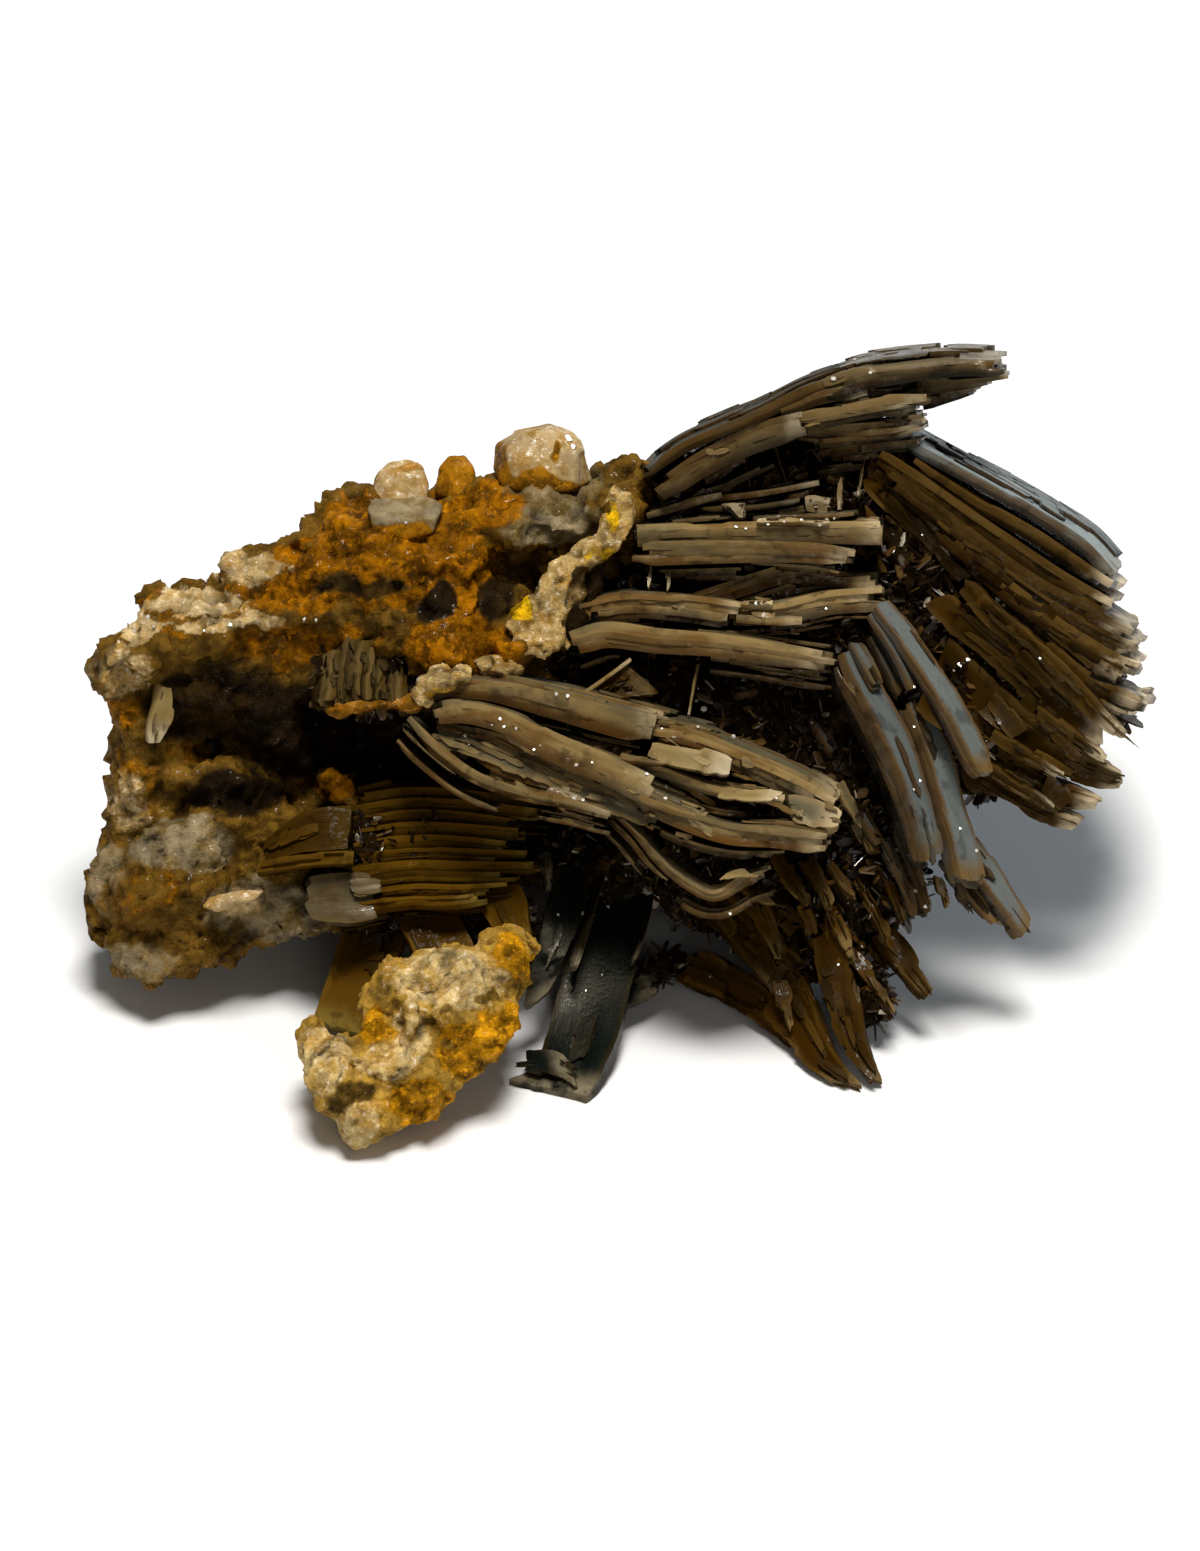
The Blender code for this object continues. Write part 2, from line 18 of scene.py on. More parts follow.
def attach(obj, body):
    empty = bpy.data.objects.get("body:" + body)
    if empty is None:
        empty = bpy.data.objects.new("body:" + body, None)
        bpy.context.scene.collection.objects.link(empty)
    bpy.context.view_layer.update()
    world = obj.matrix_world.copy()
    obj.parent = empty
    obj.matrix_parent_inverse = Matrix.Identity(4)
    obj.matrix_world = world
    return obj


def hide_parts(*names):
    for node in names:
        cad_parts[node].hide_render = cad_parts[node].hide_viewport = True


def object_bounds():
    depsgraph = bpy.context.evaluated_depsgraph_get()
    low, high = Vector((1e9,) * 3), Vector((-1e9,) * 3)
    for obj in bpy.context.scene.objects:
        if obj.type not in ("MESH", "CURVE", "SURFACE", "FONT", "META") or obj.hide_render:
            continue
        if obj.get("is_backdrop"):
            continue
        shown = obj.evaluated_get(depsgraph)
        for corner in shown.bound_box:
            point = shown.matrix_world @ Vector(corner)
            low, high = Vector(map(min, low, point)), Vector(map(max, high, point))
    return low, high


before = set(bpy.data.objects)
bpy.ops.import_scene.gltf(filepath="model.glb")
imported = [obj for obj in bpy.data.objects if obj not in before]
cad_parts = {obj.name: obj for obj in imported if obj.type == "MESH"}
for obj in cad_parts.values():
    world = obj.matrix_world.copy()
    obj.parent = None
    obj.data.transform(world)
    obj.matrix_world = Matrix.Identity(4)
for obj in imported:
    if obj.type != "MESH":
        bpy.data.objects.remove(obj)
CAD_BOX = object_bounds()
MM = 0.001
print("nodes", len(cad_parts), "box in mm", [round(v / MM, 1) for v in (*CAD_BOX[0], *CAD_BOX[1])])

# %% [markdown]
# ## The show face
# A collector turns a specimen until its best side shows. Here that side leans back by LEAN, and every
# crystal is laid out on it, because fans and books are easiest to read face on. A station is a place on
# the show face: (across, down, out) in millimetres. `place` turns stations into points of the scene,
# `station` goes the other way, and `boxed` keeps points inside the box of the solid model.

# %% Stations on the show face
LEAN = math.radians(35.0)
SIGHT = 800.0  # millimetres from the show face to the eye
DATUM = np.array((60.0, 77.5))  # the station straight in front of the eye
DROP = np.array((2.436, 4.872, -21.0))  # centres the specimen and stands it on the floor, in millimetres
SIN, COS = math.sin(LEAN), math.cos(LEAN)
OUTWARD = np.array((0, -COS, SIN))
INSET = 1e-5  # metres left free inside the box


def place(stations):
    """Stations in millimetres to points in metres."""
    s = np.asarray(stations, float)
    near = 1 - s[..., 2] / SIGHT
    across, up = (s[..., 0] - DATUM[0]) * near, (DATUM[1] - s[..., 1]) * near
    out = s[..., 2]
    return (np.stack([across, up * SIN - out * COS, up * COS + out * SIN], -1) - DROP) * MM


def station(points):
    """Points in metres to stations in millimetres."""
    q = np.asarray(points, float) / MM + DROP
    up, out = q[..., 1] * SIN + q[..., 2] * COS, q[..., 2] * SIN - q[..., 1] * COS
    near = 1 - out / SIGHT
    return np.stack([q[..., 0] / near + DATUM[0], DATUM[1] - up / near, out], -1)


def boxed(points):
    """Keeps points inside the box of the solid model."""
    return np.clip(points, np.array(CAD_BOX[0]) + INSET, np.array(CAD_BOX[1]) - INSET)


print("the datum is at", place((*DATUM, 0)).round(4), "metres")

# %% [markdown]
# ## Roughness in numbers
# Broken stone is rough at every size at once. Noise textures could give that only on the surface, and
# here the shape itself has to break, so the noise is worked out for whole arrays of points. `grain` is
# smooth noise from a hashed lattice: the same seed always gives the same stone. `rough` piles up finer
# and finer copies of it, and `facets` gives flat tilted chips.

# %% Noise for stone
PRIMES = (73856093, 19349663, 83492791, 2654435)
MIXERS = (1274126177, 668265263)
WORD = 0xFFFFFFFF


def lattice(cells, seed, count=3):
    """Numbers from -1 to 1 that belong to whole-number cells."""
    across, down, out = (cells[..., k] * PRIMES[k] for k in range(3))
    h = across ^ down ^ out ^ seed * PRIMES[3]
    h = ((h & WORD ^ (h & WORD) >> 13) * MIXERS[0]) & WORD
    h = ((h ^ (h >> 16)) * MIXERS[1]) & WORD
    return np.stack([((h >> s) & 1023) / 511.5 - 1 for s in (12, 22, 2)[:count]], -1)


def grain(p, seed=0):
    """Smooth noise from -1 to 1 at points of shape (..., 3)."""
    base = np.floor(p).astype(np.int64)
    t = p - base
    t = t * t * (3 - 2 * t)
    total = np.zeros(p.shape[:-1])
    for corner in itertools.product((0, 1), repeat=3):
        share = np.prod([t[..., k] if corner[k] else 1 - t[..., k] for k in range(3)], axis=0)
        total += lattice(base + corner, seed, 1)[..., 0] * share
    return total


def rough(p, seed=0, octaves=4):
    """Several sizes of grain together."""
    return sum(grain(p * 2.0**k, seed + k) / 2.0**k for k in range(octaves))


def facets(p, seed=0):
    """Flat tilted chips, about -1 to 1, one for each cell of a jittered lattice."""
    base = np.floor(p).astype(np.int64)
    best, tilt = np.full(p.shape[:-1], 9.0), np.zeros(p.shape[:-1])
    for step in itertools.product((-1, 0, 1), repeat=3):
        cell = base + step
        away = p - cell - lattice(cell, seed) * 0.5 - 0.5
        reach = (away**2).sum(-1)
        tilt = np.where(reach < best, (away * lattice(cell, seed + 1)).sum(-1), tilt)
        best = np.minimum(best, reach)
    return tilt


def points3(a, b, c):
    """Three arrays or numbers as points."""
    return np.stack(np.broadcast_arrays(np.asarray(a, float), b, c), -1)


line = points3(np.linspace(0, 9, 100), 0.5, 0.5)
print("grain runs from", grain(line).min().round(2), "to", grain(line).max().round(2))

# %% [markdown]
# ## Broken edges
# A crystal edge breaks in straight runs, with a square step here and a sharp nick there. Smooth noise
# would make it look melted, so `zigzag` joins random heights with straight lines, and `chipped` adds
# steps and nicks to that.

# %% Chipped edges


def zigzag(x, layer, seed):
    """Straight-sided ups and downs from 0 to 1 along x, different for every layer."""
    cell = np.floor(x)
    at = points3(cell, np.round(layer * 7.0), seed % 97).astype(np.int64)
    low, high = (0.5 + 0.5 * lattice(at + (k, 0, 0), seed, 1)[..., 0] for k in (0, 1))
    return low + (high - low) * (x - cell)


def chipped(x, layer, seed, size):
    """How far an edge is broken back at distance x along it, in millimetres."""
    step = np.round(2.6 * zigzag(np.floor(x * 0.34 + layer * 0.4), layer, seed + 1) - 0.6) * 0.5
    nick = np.clip(zigzag(x * 1.1, layer, seed + 2) - 0.66, 0, 1)
    return size * (0.8 * zigzag(x * 0.3, layer, seed) + np.clip(step, 0, 1) + 2.2 * nick
                   + 0.2 * zigzag(x * 2.1, layer, seed + 3))


def smooth(x, low, high):
    """0 below low, 1 above high, eased between."""
    t = np.clip((x - low) / (high - low), 0, 1)
    return t * t * (3 - 2 * t)


worn = chipped(np.linspace(0, 30, 200), 0, 4, 1.0)
print("an edge is broken back", worn.min().round(2), "to", worn.max().round(2), "mm")

# %% [markdown]
# ## A block and a line
# Every plate starts as a finely divided block, drawn between two long edges. Only the skin of the block
# is kept. `curve` gives the edges: a smooth line through a few stations, so that a long crystal can bend
# a little.

# %% Divided blocks and smooth lines


def block(nu, nv, nw):
    """Points on the surface of a divided block, as fractions, and its quads, facing out."""
    i, j, k = np.meshgrid(np.arange(nu + 1), np.arange(nv + 1), np.arange(nw + 1), indexing="ij")
    on = (i % nu == 0) | (j % nv == 0) | (k % nw == 0)
    number = np.full(on.shape, -1)
    number[on] = np.arange(on.sum())
    quads = []
    for axis, size in enumerate((nu, nv, nw)):
        for side in (0, size):
            g = np.take(number, side, axis=axis)
            quad = np.stack([g[:-1, :-1], g[1:, :-1], g[1:, 1:], g[:-1, 1:]], -1).reshape(-1, 4)
            quads.append(quad[:, ::-1] if (side == 0) != (axis == 1) else quad)
    return np.stack([i[on] / nu, j[on] / nv, k[on] / nw], 1), np.concatenate(quads)


def curve(stations, t):
    """Points at t (0 to 1) on a smooth line through stations."""
    p = place(stations)
    gaps = np.linalg.norm(np.diff(p, axis=0), axis=1)
    knots = np.concatenate([[0], np.cumsum(gaps)]) / gaps.sum()
    t = np.clip(t, 0, 1)
    i = np.clip(np.searchsorted(knots, t, side="right") - 1, 0, len(p) - 2)
    s = ((t - knots[i]) / (knots[i + 1] - knots[i]))[:, None]
    slope = np.gradient(p, knots, axis=0)
    span = (knots[i + 1] - knots[i])[:, None]
    return ((2 * s**3 - 3 * s**2 + 1) * p[i] + (s**3 - 2 * s**2 + s) * span * slope[i]
            + (3 * s**2 - 2 * s**3) * p[i + 1] + (s**3 - s**2) * span * slope[i + 1])


print("a block of 4 by 3 by 2 has", len(block(4, 3, 2)[0]), "points on its skin")

# %% [markdown]
# ## Collecting a piece
# All the crystals of one book end up in one mesh. `Shape` collects them, together with two attributes
# that the materials read: `lie` says where a point lies on its crystal (along it, in from the rim and
# into its depth), and `cast` says which layer and crystal it belongs to, how far it is from the tip and
# how bright it is, which paints shade on plates that lie behind others. `register` hands the finished
# mesh to the frame.

# %% Meshes and the frame


class Shape:
    """Collects the parts of one mesh, with what its material needs to know at each point."""

    def __init__(self):
        self.points, self.quads, self.lie, self.cast = [], [], [], []
        self.count = 0

    def add(self, points, quads, lie, cast):
        self.points.append(points)
        self.quads.append(quads + self.count)
        self.lie.append(lie)
        self.cast.append(cast)
        self.count += len(points)

    def piece(self, name, material, slot, *nodes, crisp=34):
        """Makes the object, in place, and tells the frame what it stands for."""
        mesh = bpy.data.meshes.new(name)
        quads = np.concatenate(self.quads)
        mesh.from_pydata(boxed(np.concatenate(self.points)).tolist(), [], quads.tolist())
        for label, kind, rows, key in (("lie", "FLOAT_VECTOR", self.lie, "vector"),
                                       ("cast", "FLOAT_COLOR", self.cast, "color")):
            layer = mesh.attributes.new(label, kind, "POINT")
            layer.data.foreach_set(key, np.concatenate(rows).astype(np.float32).ravel())
        return register(name, mesh, material, nodes, crisp)


def register(name, mesh, material, nodes=(), crisp=0):
    """Links a mesh as a piece of the specimen."""
    mesh.materials.clear()
    mesh.materials.append(material)
    mesh.shade_smooth()
    if crisp:
        mesh.set_sharp_from_angle(angle=math.radians(crisp))
    obj = bpy.data.objects.new(name, mesh)
    bpy.context.scene.collection.objects.link(obj)
    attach(obj, "root")
    if nodes:
        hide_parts(*nodes)
    print(name, sum(len(p.vertices) - 2 for p in mesh.polygons), "triangles")
    return obj


print("a shape collects", *sorted(vars(Shape())))

# %% [markdown]
# ## A plate
# A plate is one crystal or one flake of it. The rows of its block follow the layers of the crystal, and
# each layer is broken back by its own amount, so the rim and the ends come out as little ledges. A
# Boolean or a displaced slab could not do this: the one leaves slivers, the other rounds every ledge off.
# A plate seen edge on has all its detail on the near rim, a plate seen face on has it all round.

# %% Plates from layers
LAYER = 0.7  # thickness of one layer in millimetres
ALONG, ACROSS, RIM_ROWS = 0.46, 0.6, 7  # millimetres between rows, and rows across an edge-on plate
ROOMY = 16  # an edge-on plate is ragged at the back by its width, but by no more than this allows


def plate(shape, rail, other, thick, seed, span=(0, 1), cross=(0, 1), lift=(0, 0), edge_on=True,
          fray=0.34, ragged=0.8, layers=0, wear=1.0, main=1.0, plain=0):
    """Adds a plate between two long edges, over part of their length (span) and width (cross).

    It is thick[0] to thick[1] mm deep and lies lift[0] to lift[1] mm below the edges. fray breaks its rims
    back and ragged its ends, wear rounds them, and plain takes its pale tips away. The brightness argument
    sets how light it is: random tone, and painted shade where a plate lies behind others.
    """
    rng = np.random.default_rng(seed)
    ends = np.linspace(0, 1, 24)
    whole = np.linalg.norm(np.diff(curve(rail, ends), axis=0), axis=1).sum() / MM
    breadth = np.linalg.norm(curve(other, ends) - curve(rail, ends), axis=1).mean() / MM
    length, width = whole * (span[1] - span[0]), breadth * (cross[1] - cross[0])
    layers = layers or max(1, round(sum(thick) / 2 / LAYER))
    cuts = np.linspace(0, 1, layers + 1)
    cuts[1:-1] += rng.uniform(-0.34, 0.34, layers - 1) / layers
    stagger = rng.uniform(0, 1, (layers, 3)) ** 2 * (2.4 * ragged, 2.4 * ragged, 1.5 * fray)
    stagger[rng.integers(layers)] = 0
    rows = RIM_ROWS if edge_on else max(4, round(width / ACROSS))
    f, quads = block(max(5, round(length / ALONG)), rows, 2 * layers - 1)
    row = np.round(f[:, 2] * (2 * layers - 1)).astype(int)
    layer = row // 2
    v = f[:, 1] ** (2.0 if edge_on else 1.0)

    # Each layer starts and ends where it broke.
    cut = (seed + 1) * 17
    slant = rng.uniform(-0.3, 0.3, 2) * (0 if edge_on else wear)
    first = (stagger[layer, 0] + chipped(v * width, layer * 1.7, cut, ragged)) / length
    last = 1 - (stagger[layer, 1] + chipped(v * width, layer * 1.7, cut + 7, ragged)) / length
    first = first + abs(slant[0]) * (v if slant[0] > 0 else 1 - v) * width / length
    last = last - abs(slant[1]) * (v if slant[1] > 0 else 1 - v) * width / length
    first, last = np.clip(first, 0, 0.42), np.clip(last, 0.58, 1)
    t = first + (last - first) * f[:, 0]
    x = t * length
    tip = np.minimum(t - first, last - t) * length

    # Its rims are broken back too, a little more at the tips.
    round_off = 0.12 * wear * (1 - smooth(tip, 0, 0.6))
    low = stagger[layer, 2] + chipped(x, layer * 1.3, cut + 11, fray) + round_off
    behind = 0.16 * min(width, ROOMY) if edge_on else fray
    high = chipped(x, layer * 1.3, cut + 13, behind) + round_off
    lo, hi = np.minimum(low / width, 0.45), 1 - np.minimum(high / width, 0.45)
    v = lo + (hi - lo) * v
    rim = np.minimum(v - lo, (hi - v) + (9 if edge_on else 0)) * width

    # The grid is drawn between the two edges, and goes deeper away from the viewer.
    u, w = span[0] + (span[1] - span[0]) * t, cross[0] + (cross[1] - cross[0]) * v
    near, far = curve(rail, u), curve(other, u)
    along, across = curve(rail, u + 0.01) - curve(rail, u - 0.01), far - near
    normal = np.cross(along, across)
    normal /= np.linalg.norm(normal, axis=1)[:, None]
    turned = normal @ OUTWARD < 0
    normal[turned] *= -1

    # Layers drift in depth, shelves break away from the face, and the body thins towards its tips.
    drift = 0.22 / layers * grain(points3(x * 0.12, layer * 1.9, 0.5), cut + 4)
    depth = cuts[layer] + (cuts[layer + 1] - cuts[layer]) * (0.03 + 0.94 * (row % 2))
    depth += np.where((row > 0) & (row < 2 * layers - 1), drift, 0)
    at = points3(x, v * width, 0.5)
    shelf = 0.25 * wear * smooth(grain(at * (0.13, 0.45, 1), cut + 2), 0.05, 0.12)
    shelf *= min(1, sum(thick) / 3)
    ripple = 0.02 * grain(at * (0.5, 2.1, 1), cut) + 0.08 * grain(at * (0.12, 0.3, 1), cut + 3)
    body = (thick[0] * (1 - t) + thick[1] * t) * (1 + 0.08 * grain(points3(x * 0.12, 2.5, 0.5), cut + 5))
    body *= 1 - rng.uniform(0.0, 0.25) * (1 - smooth(tip, 0, rng.uniform(0.4, 3)))
    drop = body * depth + (shelf + ripple) * (1 - depth) - ripple * depth * 0.6
    drop += lift[0] * (1 - t) + lift[1] * t
    points = near + across * w[:, None] - normal * (drop * MM)[:, None]

    # What the material needs to know.
    lie = points3(x, rim, depth)
    one = np.ones(len(x))
    end = (last - t) * length + plain
    # The last number of cast is the plate's brightness, low for plates that lie behind others: painted
    # shade.
    cast = np.stack([rng.uniform(0, 1, layers)[layer], one * ((seed * 0.381) % 1), end, one * main], 1)
    shape.add(points, quads[:, ::-1] if turned.mean() < 0.5 else quads, lie, cast)


trial = Shape()
plate(trial, [(0, 0, 0), (10, 0, 0)], [(0, 4, 0), (10, 4, 0)], (2, 2), 1)
print("a plate of 10 by 4 by 2 mm has", trial.count, "points")

# %% [markdown]
# ## A blade
# A tabular crystal is hardly ever one clean plate. Splinters of the same crystal stand beside it, and low
# terraces are left on its face where thin sheets have flaked off. `blade` adds them all to one shape. Its
# other long edge is either a step across from the first, for a blade seen edge on, or a second line.

# %% Blades with splinters and terraces


def longer(stations, extra):
    """The same line carried on at both ends by a few millimetres."""
    s = np.asarray(stations, float)
    first, last = s[0] - s[1], s[-1] - s[-2]
    s[0] += first / np.linalg.norm(first) * extra
    s[-1] += last / np.linalg.norm(last) * extra
    return s


def blade(shape, rail, other, thick, seed, splinters=5, terraces=0, **manner):
    """Adds a tabular crystal, the splinters beside it and the low terraces left on its face."""
    edge_on = isinstance(other, tuple)
    if edge_on:
        other = np.asarray(rail, float) + other
    rail, other = (longer(line, 0.7 * manner.get("ragged", 0.8)) for line in (rail, other))
    rng = np.random.default_rng(seed)
    plate(shape, rail, other, thick, seed, edge_on=edge_on, **manner)
    middle = sum(thick) / 2
    # Terraces and splinters get a lower brightness: painted shade, as they lie under and behind the blade.
    for k in range(terraces):
        start, deep, thin = rng.uniform(0, 0.62), rng.uniform(0.12, 0.66), rng.uniform(0.3, 0.8)
        span = (start, min(1, start + rng.uniform(0.25, 0.55)))
        cross = (deep, min(0.97, deep + rng.uniform(0.2, 0.5)))
        plate(shape, rail, other, (thin, thin), seed * 53 + k, span, cross, (-0.6 * thin, -0.6 * thin),
              edge_on=False, fray=0.6, ragged=1.2, layers=1, wear=0.7, main=0.4, plain=5)
    for k in range(splinters):
        start = rng.uniform(-0.1, 0.7)
        span = (max(0, start), min(1, start + rng.uniform(0.25, 0.6)))
        thin = rng.uniform(0.35, 0.95)
        if edge_on:
            sunk = rng.uniform(0, 1)
            cross = (0.02 + 0.16 * sunk, 0.85)
            lift = middle * 0.9 + 1.6 * sunk if rng.random() < 0.8 else -0.5 * thin
        else:
            left = rng.uniform(0.0, 0.55)
            cross, lift = (left, left + rng.uniform(0.25, 0.45)), -thin * rng.uniform(0.2, 0.7)
        plate(shape, rail, other, (thin, thin), seed * 31 + k + 7, span, cross,
              (lift, lift + rng.uniform(-0.4, 0.4) * edge_on), edge_on=edge_on, fray=0.4, ragged=0.8,
              layers=2, wear=1.0, main=0.0)


trial = Shape()
blade(trial, [(0, 0, 0), (10, 0, 0)], [(0, 4, 0), (10, 4, 0)], (2, 2), 1)
print("with its splinters it has", trial.count, "points")


# %% [markdown]
# ## Writing materials as sums
# A material is a tree of nodes, and maths in it takes one node for every plus and times. Built by hand
# that is slow to read, so `Sum` wraps a socket and lets shader maths read like ordinary Python. `Finish`
# makes one material and gives it nodes by type and name.

# %% Sockets that do maths


class Sum:
    """A number socket with the usual operators."""

    def __init__(self, finish, socket):
        self.finish, self.socket = finish, socket

    def math(self, operation, *others):
        inputs = dict(enumerate((self, *others)))
        return self.finish.node("ShaderNodeMath", {"operation": operation}, inputs)

    def __add__(self, other):
        return self.math("ADD", other)

    def __sub__(self, other):
        return self.math("SUBTRACT", other)

    def __mul__(self, other):
        return self.math("MULTIPLY", other)

    def __rsub__(self, other):
        return self.finish.node("ShaderNodeMath", {"operation": "SUBTRACT"}, {0: other, 1: self})

    __radd__, __rmul__ = __add__, __mul__

    def over(self, low, high):
        """0 below low, 1 above high, eased between."""
        settings = {"interpolation_type": "SMOOTHSTEP"}
        inputs = {"Value": self, "From Min": low, "From Max": high}
        return self.finish.node("ShaderNodeMapRange", settings, inputs)


# %% Materials from nodes


class Finish:
    """One material, its shader and the nodes that feed it."""

    def __init__(self, name, **constants):
        self.mat = bpy.data.materials.new(name)
        self.mat.use_nodes = True
        self.tree = self.mat.node_tree
        self.shader = self.tree.nodes["Principled BSDF"]
        for key, value in constants.items():
            self.shader.inputs[key.replace("_", " ")].default_value = value

    def put(self, socket, value):
        """A link or a constant into a socket."""
        if isinstance(value, Sum):
            self.tree.links.new(value.socket, socket)
        elif isinstance(value, tuple) and len(value) == 3 and socket.type == "RGBA":
            socket.default_value = (*value, 1)
        else:
            socket.default_value = value

    def node(self, kind, settings, inputs, out=0):
        """Any node: its type, its settings, then its inputs."""
        node = self.tree.nodes.new(kind)
        for key, value in settings.items():
            setattr(node, key, value)
        for key, value in inputs.items():
            self.put(node.inputs[key], value)
        return Sum(self, node.outputs[out])

    def attribute(self, name, out):
        return self.node("ShaderNodeAttribute", {"attribute_name": name}, {}, out)

    def split(self, vector):
        """The three numbers of a vector."""
        first = self.node("ShaderNodeSeparateXYZ", {}, {0: vector})
        outputs = first.socket.node.outputs
        return [Sum(self, outputs[k]) for k in range(3)]

    def vector(self, x, y, z):
        return self.node("ShaderNodeCombineXYZ", {}, {0: x, 1: y, 2: z})

    def noise(self, vector, scale, detail=3.0, roughness=0.55):
        inputs = {"Vector": vector, "Scale": scale, "Detail": detail, "Roughness": roughness}
        return self.node("ShaderNodeTexNoise", {}, inputs)

    def cells(self, vector, scale):
        return self.node("ShaderNodeTexVoronoi", {}, {"Vector": vector, "Scale": scale})

    def blend(self, factor, a, b):
        return self.node("ShaderNodeMix", {"data_type": "RGBA"}, {0: factor, 6: a, 7: b}, 2)

    def shade(self, colour, factor):
        """A colour made darker or lighter by a number."""
        grey = self.vector(factor, factor, factor)
        return self.node("ShaderNodeVectorMath", {"operation": "MULTIPLY"}, {0: colour, 1: grey})

    def relief(self, height, distance):
        """Bump from a height in millimetres."""
        inputs = {"Height": height, "Distance": distance * MM, "Strength": 1.0}
        self.put(self.shader.inputs["Normal"], self.node("ShaderNodeBump", {}, inputs))

    def feed(self, **values):
        for key, value in values.items():
            self.put(self.shader.inputs[key.replace("_", " ")], value)
        return self.mat


trial = Finish("trial")
trial.feed(Roughness=trial.noise(trial.vector(0, 0, 0), 1.0) * 0.5 + 0.2)
print("roughness = noise * 0.5 + 0.2 takes", len(trial.tree.nodes), "nodes")
bpy.data.materials.remove(trial.mat)

# %% [markdown]
# ## Crystal finishes
# A blade's faces are greyer than its edges, fine streaks run along it, and its tips are paler. Its rim is
# lighter near the top and darker orange-brown lower down: a real orange stain, with painted sky reflection
# at the top and painted shade below. Painted textures would stretch over so many small pieces. Instead the
# streaks are noise in the crystal's own coordinates, stretched along it and shifted for every crystal,
# and the rim, the depth and the tips come from the attributes. Stray bright grains get a clear coat, like
# wet sparks.

# %% Barite material


def barite(name, face, edge, under_stain_and_shade, tip, dust=0.5, gloss=0.3, dark=0.7, wet=0.5, sheen=0.2,
           shadow=0.5):
    """A bladed crystal finish: colours of the face, the edge, its underside and the tips.

    dust is how much of it is stained, gloss its roughness, dark how deep its cracks are, wet how much its
    grains spark, sheen its mirror-like share and shadow how much darker it gets with depth.
    """
    f = Finish(name, IOR=1.5, Specular_IOR_Level=sheen, Specular_Tint=(1.0, 0.86, 0.62, 1),
               Coat_Roughness=0.09)
    along, rim, depth = f.split(f.attribute("lie", 1))
    layer, crystal, end = f.split(f.attribute("cast", 0))
    # The last number of cast is the plate's brightness, lowered as painted shade on plates behind others.
    main = f.attribute("cast", 3)
    here = f.node("ShaderNodeTexCoord", {}, {}, 3)
    x = along + crystal * 61.0
    broad = f.noise(f.vector(x * 0.085, rim * 0.25, depth * 0.9 + crystal * 17.0), 1.0, 3.0, 0.5)
    streaks = f.noise(f.vector(x * 0.2, rim * 1.6, depth * 4.4 + layer * 9.0), 1.0, 5.0, 0.62)
    threads = f.noise(f.vector(x * 0.55, rim * 7.0, depth * 19.0), 1.0, 3.0, 0.6)
    patches = f.noise(here, 300.0, 4.0, 0.6)
    grains = f.noise(here, 2300.0, 2.0, 0.6)

    at_edge = 1.0 - (rim + (streaks - 0.5) * 0.8).over(0.05, 0.8)
    # The rim is lighter near the top and takes the underside colour lower down: painted sky reflection
    # above, painted shade with a real orange stain below.
    low = (depth + (patches - 0.5) * 0.9 + (broad - 0.5) * 0.8).over(0.4, 0.95)
    colour = f.blend(at_edge * 0.85, face, f.blend(low, edge, under_stain_and_shade))
    colour = f.blend(broad.over(0.50, 0.62) * dust, colour, under_stain_and_shade)
    colour = f.blend((1.0 - broad.over(0.38, 0.5)) * 0.5, colour, face)
    at_tip = (1.0 - end.over(0.3, 3.0)) * patches.over(0.34, 0.54) * (main * 0.8 + 0.1)
    colour = f.blend(at_tip, colour, tip)

    # The tone falls with depth by shadow: painted shade.
    tone = 1.0 + (layer - 0.5) * 0.5 + (crystal - 0.5) * 0.4 - depth * shadow + (streaks - 0.5) * 0.5
    tone = (tone + (threads - 0.5) * 0.2 + (broad - 0.5) * 1.0) * (0.6 + main * 0.4)
    tone = tone * (1.0 - streaks.over(0.62, 0.67) * dark) * (1.0 - patches.over(0.56, 0.66) * 0.4)
    f.relief(streaks * 0.12 + threads * 0.05 + grains * 0.12, 0.2)
    spark = (grains + (threads - 0.5) * 0.7).over(0.52, 0.64) * broad.over(0.42, 0.6)
    return f.feed(Base_Color=f.shade(colour, tone.math("MAXIMUM", 0.04)), Coat_Weight=spark * wet,
                  Roughness=gloss + (patches - 0.3) * 0.6 + (grains - 0.5) * 0.3)


# %% [markdown]
# Eleven mixtures of the same finish cover the whole specimen: grey and tan books in front, brown and
# amber fans, blue-grey arches, and near-black blades underneath. The blue of the arches and of the fan's
# top sheet is painted sky reflection in their face colour. Each gives the face, edge, underside and tip
# colours.

# %% Barite finishes
grey_tan = barite("grey_tan_barite", (0.136, 0.114, 0.062), (0.300, 0.195, 0.068), (0.105, 0.042, 0.003),
                  (0.46, 0.35, 0.19), dust=0.66)
smoky = barite("smoky_barite", (0.120, 0.090, 0.042), (0.160, 0.102, 0.036), (0.060, 0.025, 0.002),
               (0.32, 0.26, 0.16), dust=0.66, shadow=0.7)
